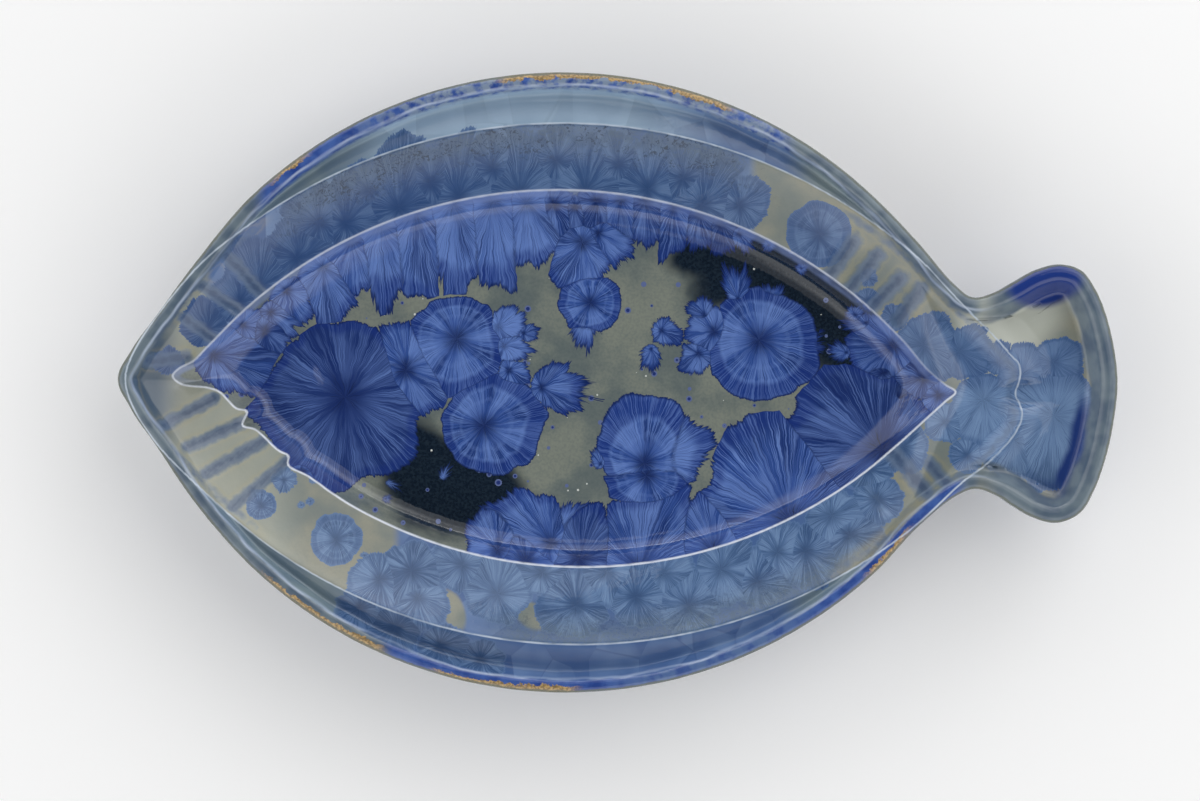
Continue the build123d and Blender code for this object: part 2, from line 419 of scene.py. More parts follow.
GROOVES = [
    Groove((163, 425), (212, 398)), Groove((187, 447), (244, 421)), Groove((204, 474), (262, 441)),
    Groove((232, 506), (288, 460)), Groove((148, 361), (184, 357), 4.0), Groove((183, 318), (214, 341)),
    Groove((196, 283), (246, 317)), Groove((226, 255), (262, 296), 4.0),
    Groove((855, 240), (828, 279), 4.6), Groove((879, 254), (850, 290), 4.4),
    Groove((902, 277), (872, 309), 4.4), Groove((922, 289), (900, 320), 4.6),
    Groove((890, 449), (926, 491), 5.2), Groove((930, 464), (952, 488), 4.2),
    Groove((862, 480), (884, 510), 4.0, 0.5),
]


@dataclass
class Inside:
    """The surface of the inside glaze, as a height over every place, and the distances its colours need."""

    silhouette: Outline = field(default_factory=silhouette)
    crest: Outline = field(default_factory=crest_line)
    well: Outline = field(default_factory=well_line)
    floor: Outline = field(default_factory=floor_line)
    dish: Outline = field(default_factory=dish_line)
    tail_start: float = 112.0
    tail_full: float = 134.0
    lip_widening: float = 0.6  # how much wider the lip is round the tail
    lip_profile: Profile = ((0.0, 2.2), (0.3, 1.25), (0.9, 0.55), (1.8, 0.12), (2.7, 0.0), (3.4, 0.16),
                            (4.0, 0.55), (4.6, 1.5), (5.6, 4.4), (6.6, 7.3), (7.6, 10.0), (17.6, 39.0))
    tail_profile: Profile = ((0.0, 2.6), (0.4, 1.4), (1.2, 0.5), (2.5, 0.0), (3.9, 0.15), (5.2, 0.9),
                             (6.6, 3.0), (8.1, 5.6), (9.6, 8.0), (11.2, 10.0), (22.0, 39.0))
    crest_round: float = 0.5
    gutter_slope: float = 0.46
    flange_sag: float = 0.9
    wall_width: float = 9.0  # the well's sloping wall, seen from above
    rim_width: float = 6.0  # the dish's flat rim
    groove_depth: float = 0.75
    seam_depth: float = 0.8

    def tail_share(self, points: np.ndarray) -> np.ndarray:
        """0 on the body and 1 in the tail."""
        return smooth_step(self.tail_start, self.tail_full, points[:, 0])

    def lip(self, points: np.ndarray, inset: np.ndarray) -> np.ndarray:
        """The height of the rounded, uneven lip.

        Args:
            points: places seen from above, one row each.
            inset: how far each lies inside the silhouette.

        Returns:
            The height at each place.
        """
        share, within = self.tail_share(points), np.clip(inset, 0.0, None)
        wander = 0.55 * ripple(points, 23.0, 3.1) + 0.35 * ripple(points, 8.0, 7.7)
        wander = wander + 0.16 * ripple(points, 3.2, 1.3)
        body = within + wander * smooth_step(0.6, 3.0, inset)
        on_body = LIP_TOP - np.interp(body, *zip(*self.lip_profile))
        on_tail = LIP_TOP - np.interp(within, *zip(*self.tail_profile))
        return on_body * (1 - share) + on_tail * share

    def bowl(self, from_crest: np.ndarray, from_well: np.ndarray) -> np.ndarray:
        """The height of gutter, flange and well without their grooves.

        Args:
            from_crest: how far each place lies inside the crest.
            from_well: how far each place lies inside the well's edge.

        Returns:
            The height at each place.
        """
        rounded = np.sqrt(from_crest**2 + self.crest_round**2) - self.crest_round
        share = np.clip(from_crest / np.maximum(from_crest - from_well, 0.5), 0.0, 1.0)
        flange = CREST - (CREST - WELL_EDGE) * share - self.flange_sag * np.sin(math.pi * share)
        flange = np.where(from_well > 0, WELL_EDGE - 0.42 * from_well, flange)
        near = smooth_step(3.0, 0.0, from_crest)
        flange = flange * (1 - near) + (CREST - 0.5 * rounded) * near
        outer = soft_max(CREST - self.gutter_slope * rounded, np.full(len(from_crest), GUTTER), 0.9)
        left = 1 - np.clip(from_well / self.wall_width, 0.0, 1.0)
        drop = (WELL_EDGE - WELL_FLOOR) * (1 - left**2)
        wall = WELL_EDGE + 0.35 - np.where(from_well > 0, drop, 2.0 * from_well)
        return np.where(from_crest > 0, soft_min(flange, wall, 0.7), outer)

    def dish_surface(self, points: np.ndarray) -> np.ndarray:
        """The height of the dish's hollow, under the strips.

        Args:
            points: places seen from above, one row each.

        Returns:
            The height at each place.
        """
        from_floor = self.floor.inset(points)
        from_rim = np.maximum(self.dish.inset(points) - self.rim_width, 0.0)
        share = np.where(from_floor > 0, 0.0, from_floor / np.minimum(from_floor - from_rim, -0.01))
        return DISH_FLOOR + (DISH_RIM - DISH_FLOOR) * np.clip(share, 0.0, 1.0)

    def channel(self, points: np.ndarray) -> np.ndarray:
        """The height of the channel that runs from the well into the tail, and far up beside it.

        Args:
            points: places seen from above, one row each.

        Returns:
            The height at each place.
        """
        x, y = points[:, 0], points[:, 1]
        middle = -2.2 + 0.3 * np.sin(x / 6.0)
        flare = 1.6 + 1.6 * smooth_step(127.0, 134.0, x)
        bank = 2.1 * np.clip(np.abs(y - middle) - flare, 0.0, None) ** 1.15
        bottom = np.interp(x, [100.0, 106.0, 119.0, 132.0], [15.5, 20.0, 30.2, 31.0])
        return np.where(x > 99.0, bottom + bank, LIP_TOP)

    def seam(self, points: np.ndarray) -> np.ndarray:
        """How deep the seam between the two strips is at the nose.

        Args:
            points: places seen from above, one row each.

        Returns:
            Its share of the full depth at each place, from 0 to 1.
        """
        x, y = points[:, 0], points[:, 1]
        middle = -1.6 + 0.25 * np.sin(x / 3.0)
        across = np.exp(-(((y - middle) / 1.1) ** 2))
        return across * smooth_step(-143.0, -147.0, x) * smooth_step(-162.0, -158.0, x)

    def pool(
        self, points: np.ndarray, from_crest: np.ndarray, from_well: np.ndarray, spread: float = 1.0
    ) -> np.ndarray:
        """How deep the grooves are.

        Args:
            points: places seen from above, one row each.
            from_crest: how far each lies inside the crest.
            from_well: how far each lies inside the well's edge.
            spread: how many times wider the grooves count than they are.

        Returns:
            Their share of the full depth at each place, from 0 to 1.
        """
        deep = np.max([groove.depth_at(points, spread) for groove in GROOVES], axis=0)
        return deep * smooth_step(-1.0, 0.6, from_crest) * smooth_step(2.5, 0.5, from_well)

    def heights(self, points: np.ndarray) -> dict[str, np.ndarray]:
        """The height at each point, with the distances it was worked out from.

        Args:
            points: places seen from above, one row each.

        Returns:
            Arrays by name: height, and inset, crest, well and pool for the glaze's colours.
        """
        inset = self.silhouette.inset(points)
        from_crest, from_well = self.crest.inset(points), self.well.inset(points)
        height = self.bowl(from_crest, from_well)
        height = height - self.groove_depth * self.pool(points, from_crest, from_well)
        height = height - self.seam_depth * self.seam(points)
        height = soft_min(height, self.channel(points), 0.8)
        height = soft_max(height, self.dish_surface(points) + 0.8, 0.5)
        height = soft_max(height, self.lip(points, inset), 0.7)
        uneven = 0.10 * ripple(points, 31.0, 5.5) + 0.05 * ripple(points, 11.0, 9.2)
        pool = self.pool(points, from_crest, from_well, 1.35)
        return {"height": height + uneven, "inset": inset, "crest": from_crest, "well": from_well,
                "pool": pool}


# ---------------------------------------------------------------------------
# Meshes
# ---------------------------------------------------------------------------
class Ends(Enum):
    """How a shell closes at its first and its last ring."""

    SEAM = "both are flattened onto a line and close there"
    LOOP = "the last joins the first"
    FACES = "each is filled with a flat face"


def deselect_all() -> None:
    """Leaves nothing selected, in object mode."""
    if bpy.context.object and bpy.context.object.mode != "OBJECT":
        bpy.ops.object.mode_set(mode="OBJECT")
    bpy.ops.object.select_all(action="DESELECT")


def shell(name: str, rings: list[Ring], ends: Ends = Ends.SEAM) -> bpy.types.Object:
    """A closed mesh skinned over closed rings, made from a circle that is extruded once for each ring.

    Args:
        name: the piece's name.
        rings: rings of points in millimetres, each with as many points as the first.
        ends: how it closes.

    Returns:
        The mesh object, with its normals outwards and shaded smooth.
    """
    count = len(rings[0])
    deselect_all()
    bpy.ops.mesh.primitive_circle_add(vertices=count, radius=1.0)
    piece = bpy.context.object
    mesh = piece.data
    piece.name = mesh.name = name
    bpy.ops.object.mode_set(mode="EDIT")
    bpy.ops.mesh.select_all(action="SELECT")
    for _ in rings[1:]:
        bpy.ops.mesh.extrude_region_move(TRANSFORM_OT_translate={"value": (0.0, 0.0, 1.0)})
    bpy.ops.mesh.select_all(action="DESELECT")
    bpy.ops.mesh.select_non_manifold(extend=False)
    if ends is Ends.LOOP:
        bpy.ops.mesh.bridge_edge_loops()
    if ends is Ends.FACES:
        bpy.ops.mesh.edge_face_add()
    bpy.ops.object.mode_set(mode="OBJECT")
    place = np.empty(len(mesh.vertices) * 3)
    mesh.vertices.foreach_get("co", place)
    x, y, z = place.reshape(-1, 3).T
    row = np.rint(z).astype(int)
    column = np.rint(np.arctan2(y, x) / (2 * math.pi) * count).astype(int) % count
    mesh.vertices.foreach_set("co", (np.array(rings)[row, column] * MM).ravel())
    mesh.update()
    bpy.ops.object.mode_set(mode="EDIT")
    bpy.ops.mesh.select_all(action="SELECT")
    bpy.ops.mesh.remove_doubles(threshold=0.00001)
    bpy.ops.mesh.normals_make_consistent(inside=False)
    bpy.ops.object.mode_set(mode="OBJECT")
    bpy.ops.object.shade_smooth()
    return piece


@dataclass
class Rounds:
    """Rings round the platter, whose points lie opposite each other from the silhouette to the middle."""

    surface: Inside
    tail_count: int = 70
    body_count: int = 230
    lip_insets: tuple[float, ...] = (0.0, 0.2, 0.5, 0.9, 1.4, 1.9, 2.4, 2.9, 3.4, 3.9, 4.4, 4.9, 5.5, 6.2,
                                     7.0)
    gutter_shares: tuple[float, ...] = (0.1, 0.2, 0.3, 0.42, 0.54, 0.66, 0.78, 0.87, 0.93, 0.97, 1.0)
    flange_shares: tuple[float, ...] = (0.015, 0.03, 0.06, 0.1, 0.15, 0.2, 0.26, 0.32, 0.38, 0.44, 0.5, 0.56,
                                        0.62, 0.68, 0.74, 0.8, 0.86, 0.91, 0.95, 0.975, 0.99, 1.0)
    well_shares: tuple[float, ...] = (0.006, 0.014, 0.025, 0.04, 0.06, 0.085, 0.11, 0.14, 0.18, 0.23, 0.29,
                                      0.36, 0.44, 0.52, 0.61, 0.7, 0.8, 0.9, 1.0)
    spine_ends: tuple[float, float] = (-141.0, 106.0)
    gutter_least: float = 1.2  # how near the crest may come to the lip's last ring

    def on(self, outline: Outline, inset: np.ndarray | float = 0.0) -> Ring:
        """A ring along an outline, moved inwards."""
        return outline.ring(outline.stations(self.tail_count, self.body_count), inset)

    def spine(self) -> Ring:
        """A ring flattened onto the well's middle line.

        Returns:
            The ring, whose lower half runs back over the points of its upper half.
        """
        ring = self.on(self.surface.well)
        x = np.clip(ring[:, 0] * 0.96 - 0.5, *self.spine_ends)
        half = len(ring) // 2
        x[half + 1:] = x[1:half][::-1]
        return np.column_stack([x, np.interp(x, self.spine_ends, (0.6, -2.0))])

    def top(self) -> list[Ring]:
        """The rings of the inside surface, still flat.

        Returns:
            Rings from the silhouette to the middle, with one on each edge of the surface.
        """
        outline = self.surface.silhouette
        edge, crest, well = self.on(outline), self.on(self.surface.crest), self.on(self.surface.well)
        widen = 1.0 + self.surface.lip_widening * self.surface.tail_share(edge)
        rings = [self.on(outline, inset * widen) for inset in self.lip_insets]
        short = self.lip_insets[-1] * widen + self.gutter_least - outline.inset(crest)
        crest = crest + (self.on(outline, 1.0) - edge) * np.clip(short, 0.0, None)[:, None]
        fields = ((rings[-1], crest, self.gutter_shares), (crest, well, self.flange_shares),
                  (well, self.spine(), self.well_shares))
        for start, end, shares in fields:
            rings += [start * (1 - share) + end * share for share in shares]
        return rings


def raised(ring: Ring, height: np.ndarray | float) -> Ring:
    """A flat ring at this height."""
    return np.column_stack([ring[:, :2], np.broadcast_to(np.asarray(height, float), len(ring))])


@dataclass
class Platter:
    """The platter, whose pieces are all built over the same rings."""

    surface: Inside = field(default_factory=Inside)
    rounds: Rounds = field(init=False)
    top: list[Ring] = field(init=False)
    coat: float = 1.0
    lip_wall: tuple[float, ...] = (COAT_EDGE, 32.6, 34.6, 36.0)  # heights up the coat on the outer wall
    lip_back: tuple[float, ...] = (36.2, 33.4, COAT_EDGE)  # heights down that coat's inner face
    slab_inset: float = 1.6  # where the underside begins, inside the upright wall
    thin_coat: float = 0.8  # the outside coat, which is a little thicker on the slope
    slope_coat: float = 0.9
    clay_lift: float = 0.75  # how far the clay lies behind the outside coat's surface
    # shares of the way down from the slab's underside to the glaze line
    glaze_steps: tuple[float, ...] = (0.0, 0.15, 0.3, 0.45, 0.6, 0.75, 0.87, 0.95, 1.0)
    # the underside and its rounded edge, then shares of the way up the dish's slope
    under_steps: Profile = ((20.0, 0.0), (9.0, 0.0), (2.0, 0.0), (0.8, 0.1), (0.2, 0.45))
    dish_steps: tuple[float, ...] = (0.04, 0.1, 0.16, 0.22, 0.28, 0.34, 0.5, 0.7, 0.87)
    foot_profile: Profile = ((0.0, FOOT_TOP + 0.1), (0.0, 3.4), (0.1, 1.7), (0.5, 0.7), (1.3, 0.12),
                             (2.2, 0.0), (4.8, 0.0), (5.7, 0.12), (6.5, 0.7), (6.9, 1.7), (7.0, 3.4),
                             (7.0, FOOT_TOP + 0.1))
    coil_rows: tuple[int, ...] = (3, 5, 8, 10, 11, 12)  # the rings of the lip that the coils follow
    coil_floor: float = 29.9
    slab_bottom: float = 24.4

    def __post_init__(self) -> None:
        """Lays the rings of the inside surface and raises them to its height."""
        self.rounds = Rounds(self.surface)
        flat = self.rounds.top()
        heights = self.surface.heights(np.vstack(flat))["height"].reshape(len(flat), -1)
        self.top = [raised(ring, height) for ring, height in zip(flat, heights)]

    def inside_glaze(self) -> bpy.types.Object:
        """The coat over lip, gutter, flange, well and tail.

        Returns:
            A closed shell about a millimetre thick, which carries the distances that its colours need.
        """
        silhouette, on = self.surface.silhouette, self.rounds.on
        under = [raised(ring, ring[:, 2] - self.coat) for ring in self.top[:3:-2]]
        back = [raised(on(silhouette, 0.75), z) for z in self.lip_back]
        wall = [raised(on(silhouette), z) for z in self.lip_wall]
        piece = shell("inside_glaze", under + back + wall + self.top)
        points = np.empty(len(piece.data.vertices) * 3)
        piece.data.vertices.foreach_get("co", points)
        facts = self.surface.heights(points.reshape(-1, 3) / MM)
        for name in CARRIED:
            layer = piece.data.attributes.new(name, "FLOAT", "POINT")
            layer.data.foreach_set("value", facts[name].astype(np.float32))
        return piece

    def slope(self, share: float | np.ndarray, lift: float = 0.0) -> Ring:
        """A ring on the dish's sloping outside.

        Args:
            share: its share of the way up from the flat underside.
            lift: how far it lies above the slope.

        Returns:
            The ring.
        """
        under, edge = self.rounds.on(under_line()), self.rounds.on(self.surface.dish)
        share = np.broadcast_to(np.asarray(share, float), len(under))
        flat = under * (1 - share[:, None]) + edge * share[:, None]
        return raised(flat, FOOT_TOP + (DISH_EDGE - FOOT_TOP) * share + lift)

    def edge_height(self) -> np.ndarray:
        """The height of the lower edge of the upright wall, on the body and round the tail."""
        share = self.surface.tail_share(self.rounds.on(self.surface.silhouette))
        return DISH_EDGE * (1 - share) + SLAB_UNDERSIDE * share

    def outside_glaze(self) -> bpy.types.Object:
        """The thin coat outside, from the lip's wall down to an uneven line over the foot.

        Returns:
            A closed shell.
        """
        silhouette, on, low = self.surface.silhouette, self.rounds.on, self.edge_height()
        slab = (SLAB_UNDERSIDE - FOOT_TOP) / (DISH_EDGE - FOOT_TOP)
        line = (GLAZE_LINE - FOOT_TOP) / (DISH_EDGE - FOOT_TOP)
        ring = self.slope(line)
        line = line + 0.035 * ripple(ring, 17.0, 2.2) + 0.02 * ripple(ring, 6.0, 4.1)
        turned, behind = on(silhouette, self.slab_inset), on(silhouette, self.thin_coat)
        lift = self.slope_coat
        start, joint = raised(turned, low - 0.05), self.slope(slab)
        outer = [raised(on(silhouette), COAT_EDGE), raised(on(silhouette), 29.0),
                 raised(on(silhouette), low + 1.3), raised(on(silhouette, 0.2), low + 0.6),
                 raised(on(silhouette, 0.7), low + 0.15), start]
        outer += [start * (1 - share) + joint * share for share in (0.2, 0.4, 0.6, 0.8)]
        outer += [self.slope(slab + (line + 0.03 - slab) * step) for step in self.glaze_steps]
        outer += [self.slope(line + 0.012, -0.12), self.slope(line + 0.002, 0.1), self.slope(line, 0.45)]
        inner = [self.slope(line + 0.01, lift), self.slope((line + slab) / 2, lift), self.slope(slab, lift),
                 raised(turned, low + lift), raised(behind, low + 1.4), raised(behind, COAT_EDGE)]
        return shell("outside_glaze_piece", outer + inner, Ends.LOOP)

    def base_dish(self) -> bpy.types.Object:
        """The leaf shaped clay dish, with its flat bare underside.

        Returns:
            A closed shell.
        """
        on, under, dish, floor = self.rounds.on, under_line(), self.surface.dish, self.surface.floor
        axis = self.rounds.spine() * [0.8, 1.0]
        rings = [raised(axis, FOOT_TOP)]
        rings += [raised(on(under, inset), FOOT_TOP + lift) for inset, lift in self.under_steps]
        rings += [self.slope(share, self.clay_lift) for share in self.dish_steps]
        rings += [raised(on(dish, 0.9), z) for z in (26.4, 29.8)]
        rings += [raised(on(dish, self.surface.rim_width), 29.8)]
        rings += [raised(ring, DISH_FLOOR - 0.1) for ring in (on(floor), on(floor, 14.0), axis)]
        return shell("base_dish_piece", rings)

    def foot_ring(self) -> bpy.types.Object:
        """The ring that the platter stands on, with its rubbed bottom edges.

        Returns:
            A closed shell.
        """
        outline = foot_line()
        rings = [raised(self.rounds.on(outline, inset), z) for inset, z in self.foot_profile]
        return shell("foot_ring_piece", rings, Ends.LOOP)

    def strip(self, name: str, first: int, last: int) -> bpy.types.Object:
        """A strip of clay under the flange's glaze.

        Args:
            name: the piece's name.
            first: the station at one end.
            last: the station at the other end.

        Returns:
            A closed shell, which lies on the dish.
        """
        lip_rows = len(self.rounds.lip_insets)
        well_row = lip_rows + len(self.rounds.gutter_shares) + len(self.rounds.flange_shares) - 1
        return self.length(name, range(lip_rows + 3, well_row + 5, 2), None, first, last, 1.25)

    def coil(self, name: str, first: int, last: int) -> bpy.types.Object:
        """A coil of clay under the lip's glaze, between two stations."""
        return self.length(name, self.coil_rows, self.coil_floor, first, last, 1.9)

    def length(
        self, name: str, rows: Iterable[int], floor: float | None, first: int, last: int, drop: float
    ) -> bpy.types.Object:
        """A length of clay under the glaze, with a cross section at each station.

        Args:
            name: the piece's name.
            rows: the rings of the inside surface that its upper side follows.
            floor: the height of its underside, or None to lie on the dish.
            first: the station at one end.
            last: the station at the other end.
            drop: how far its upper side lies under the glaze's surface.

        Returns:
            A closed shell.
        """
        sections = []
        for column in range(first, last + 1):
            upper = np.array([self.top[row][column % len(self.top[0])] for row in rows])
            upper[:, 2] -= drop
            lower = upper[::-1].copy()
            base = self.surface.dish_surface(lower) + 0.02 if floor is None else floor
            lower[:, 2] = np.minimum(base, lower[:, 2] - 0.4)
            sections.append(np.vstack([upper, lower]))
        return shell(name, sections, Ends.FACES)

    def tail_slab(self) -> bpy.types.Object:
        """The flat slab of the tail, which thins towards the dish.

        Returns:
            A closed shell.
        """
        edge, tail = self.rounds.on(self.surface.silhouette, 1.0), self.rounds.tail_count
        outline = np.vstack([edge[-tail:], edge[:tail]])
        slab_top = np.interp(outline[:, 0], [112.0, 120.0, 132.0], [25.0, 27.6, 28.6])
        faces = [raised(outline, self.slab_bottom), raised(outline, slab_top)]
        return shell("tail_slab_piece", faces, Ends.FACES)

    def clay_under_glaze(self) -> list[bpy.types.Object]:
        """The clay that lies hidden under the glaze.

        Returns:
            The two strips, the two coils and the tail slab.
        """
        count, tail = len(self.top[0]), self.rounds.tail_count
        half = count // 2
        return [
            self.strip("upper_flange_piece", 6, half - 4),
            self.strip("lower_flange_piece", half + 4, count - 6),
            self.coil("body_coil_piece", tail - 12, count - tail + 12),
            self.coil("tail_coil_piece", count - tail + 12, count + tail - 12),
            self.tail_slab(),
        ]


# ---------------------------------------------------------------------------
# Materials
# ---------------------------------------------------------------------------
Socket = bpy.types.NodeSocket
Value = float | tuple | Socket
COLOUR_NAMES = ("Deep", "Body", "Light", "Rim", "Border", "Hair")


def paint(red: int, green: int, blue: int) -> tuple[float, float, float, float]:
    """A colour as the eye sees it, 0 to 255, in the linear values that nodes take."""
    seen = ((c / 255 / 12.92 if c < 10 else ((c / 255 + 0.055) / 1.055) ** 2.4) for c in (red, green, blue))
    return (*seen, 1.0)


@dataclass(frozen=True)
class Oval:
    """An oval round a pixel of the photograph, with its half lengths in millimetres and its turn."""

    px: float
    py: float
    long_half: float
    short_half: float
    turn: float


@dataclass
class Web:
    """Adds nodes to one node tree and joins them."""

    tree: bpy.types.NodeTree

    def fill(self, made: bpy.types.Node, inputs: dict) -> bpy.types.Node:
        """Puts values or links on a node's inputs.

        Args:
            made: the node.
            inputs: values and sockets by the name or number of the input.

        Returns:
            The node.
        """
        for key, value in inputs.items():
            if isinstance(value, Socket):
                self.tree.links.new(value, made.inputs[key])
            else:
                made.inputs[key].default_value = value
        return made

    def node(self, kind: str, inputs: dict | None = None, **settings: object) -> bpy.types.Node:
        """Adds a node.

        Args:
            kind: its type, after ShaderNode.
            inputs: what goes on its inputs.
            settings: its own settings.

        Returns:
            The node.
        """
        made = self.tree.nodes.new("ShaderNode" + kind)
        for name, value in settings.items():
            setattr(made, name, value)
        return self.fill(made, inputs or {})

    def group(self, tree: bpy.types.NodeTree, inputs: dict) -> bpy.types.Node:
        """Places a node group."""
        return self.node("Group", inputs, node_tree=tree)

    def place(self) -> Socket:
        """The place on the piece, in millimetres."""
        return self.scaled(self.node("TexCoord").outputs["Object"], 1.0 / MM)

    def attribute(self, name: str) -> Socket:
        """A value that the mesh carries, with distances in millimetres."""
        return self.node("Attribute", attribute_name=name).outputs["Fac"]

    def math(self, operation: str, *values: Value) -> Socket:
        """The result of one arithmetic step."""
        return self.node("Math", dict(enumerate(values)), operation=operation).outputs[0]

    def times(self, first: Value, *others: Value) -> Socket:
        """The product of two or more numbers."""
        return reduce(lambda product, other: self.math("MULTIPLY", product, other), others, first)

    def less(self, value: Value, taken: Value) -> Socket:
        """A number less another."""
        return self.math("SUBTRACT", value, taken)

    def gap(self, value: Value, middle: float) -> Socket:
        """How far a number is from another, on either side."""
        return self.math("ABSOLUTE", self.less(value, middle))

    def mad(self, value: Value, factor: Value, added: Value) -> Socket:
        """A number times a factor, with another added."""
        return self.math("MULTIPLY_ADD", value, factor, added)

    def vector(self, operation: str, *values: Value) -> Socket:
        """The result of one vector step, a number for a length or a dot product."""
        made = self.node("VectorMath", dict(enumerate(values)), operation=operation)
        return made.outputs["Value" if operation in ("LENGTH", "DOT_PRODUCT") else "Vector"]

    def scaled(self, value: Value, factor: Value) -> Socket:
        """A vector times a number."""
        return self.node("VectorMath", {0: value, "Scale": factor}, operation="SCALE").outputs[0]

    def flat(self, place: Socket) -> Socket:
        """A place with its height taken away."""
        return self.vector("MULTIPLY", place, (1.0, 1.0, 0.0))

    def joined(self, x: Value, y: Value, z: Value) -> Socket:
        """A vector from three numbers."""
        return self.node("CombineXYZ", {0: x, 1: y, 2: z}).outputs[0]

    def parts(self, vector: Socket) -> list[Socket]:
        """The three numbers of a vector."""
        return list(self.node("SeparateXYZ", {0: vector}).outputs)

    def blend(self, share: Value, under: Value, over: Value, how: str = "MIX") -> Socket:
        """One colour laid over another."""
        return self.node("Mix", {0: share, 6: under, 7: over}, data_type="RGBA", blend_type=how).outputs[2]

    def choose(self, share: Value, under: Value, over: Value) -> Socket:
        """A number between two others."""
        return self.node("Mix", {0: share, 2: under, 3: over}, data_type="FLOAT").outputs[0]

    def span(self, value: Value, low: float, high: float, start: float = 0.0, end: float = 1.0) -> Socket:
        """A smooth rise from start at low to end at high."""
        inputs = {0: value, 1: low, 2: high, 3: start, 4: end}
        return self.node("MapRange", inputs, interpolation_type="SMOOTHSTEP").outputs[0]

    def band(self, value: Value, low: float, high: float, soft: float) -> Socket:
        """1 between low and high, falling to 0 over soft on both sides."""
        rise = self.span(value, low - soft, low + soft)
        return self.times(rise, self.span(value, high - soft, high + soft, 1.0, 0.0))

    def stretches(self, along: Socket, *ends: tuple[float, float]) -> Socket:
        """1 on each stretch between two ends and 0 elsewhere."""
        return reduce(lambda total, pair: self.math("ADD", self.band(along, *pair, 0.01), total), ends, 0.0)

    def spot(self, place: Socket, oval: Oval) -> Socket:
        """How far out a place lies in an oval.

        Args:
            place: the place.
            oval: the oval.

        Returns:
            0 in its middle and 1 on its edge.
        """
        away = self.vector("SUBTRACT", place, (*photo_point(oval.px, oval.py), 0.0))
        turned = self.node("VectorRotate", {"Vector": away, "Angle": oval.turn}, rotation_type="Z_AXIS")
        shares = (1.0 / oval.long_half, 1.0 / oval.short_half, 0.0)
        return self.vector("LENGTH", self.vector("MULTIPLY", turned.outputs[0], shares))

    def noise(
        self, place: Socket, size: float, detail: float = 2.0, rough: float = 0.5, dent: float = 0.0
    ) -> Socket:
        """Noise from 0 to 1.

        Args:
            place: where it is read.
            size: about how large its features are.
            detail: how many finer layers it has.
            rough: how strong these are.
            dent: how far it is pushed about.

        Returns:
            The noise.
        """
        inputs = {"Vector": place, "Scale": 1.0 / size, "Detail": detail, "Roughness": rough,
                  "Distortion": dent}
        return self.node("TexNoise", inputs, noise_dimensions="3D").outputs[0]

    def relief(self, height: Socket, strength: float, distance: float = 0.001) -> Socket:
        """The normal of a surface with this height."""
        inputs = {"Height": height, "Strength": strength, "Distance": distance}
        return self.node("Bump", inputs).outputs["Normal"]


def new_material(name: str) -> tuple[bpy.types.Material, Web, bpy.types.Node]:
    """Starts a material.

    Args:
        name: the material's name.

    Returns:
        The material, its web and its shader.
    """
    material = bpy.data.materials.new(name)
    material.use_nodes = True
    return material, Web(material.node_tree), material.node_tree.nodes["Principled BSDF"]


def new_group(name: str, inputs: dict[str, str], outputs: dict[str, str]) -> tuple[Web, dict, bpy.types.Node]:
    """Starts a shader node group.

    Args:
        name: the group's name.
        inputs: kind of socket by name.
        outputs: kind of socket by name.

    Returns:
        Its web, its input values by name, and its output node.
    """
    tree = bpy.data.node_groups.new(name, "ShaderNodeTree")
    for direction, sockets in (("INPUT", inputs), ("OUTPUT", outputs)):
        for label, kind in sockets.items():
            tree.interface.new_socket(label, in_out=direction, socket_type="NodeSocket" + kind)
    start, end = tree.nodes.new("NodeGroupInput"), tree.nodes.new("NodeGroupOutput")
    return Web(tree), {label: start.outputs[label] for label in inputs}, end


def seed_group() -> bpy.types.NodeTree:
    """One crystal, which takes over every place that it reaches further past than the crystals before it.

    Returns:
        The node group.
    """
    carried = {"Offset": "Vector", "Nearest": "Float", "Second": "Float"}
    inputs = {"Place": "Vector", **carried, "Centre": "Vector", "Lean": "Vector", "Reach": "Float"}
    web, given, end = new_group("crystal_seed", inputs, carried)
    offset = web.vector("SUBTRACT", given["Place"], given["Centre"])
    far = web.vector("LENGTH", web.flat(offset))
    gap = web.less(web.less(far, web.vector("DOT_PRODUCT", offset, given["Lean"])), given["Reach"])
    closer = web.math("LESS_THAN", gap, given["Nearest"])
    chosen = web.node("Mix", {0: closer, 4: given["Offset"], 5: offset}, data_type="VECTOR")
    second = web.math("MINIMUM", given["Second"], web.math("MAXIMUM", given["Nearest"], gap))
    web.fill(end, {"Offset": chosen.outputs[1], "Second": second,
                   "Nearest": web.math("MINIMUM", given["Nearest"], gap)})
    return web.tree


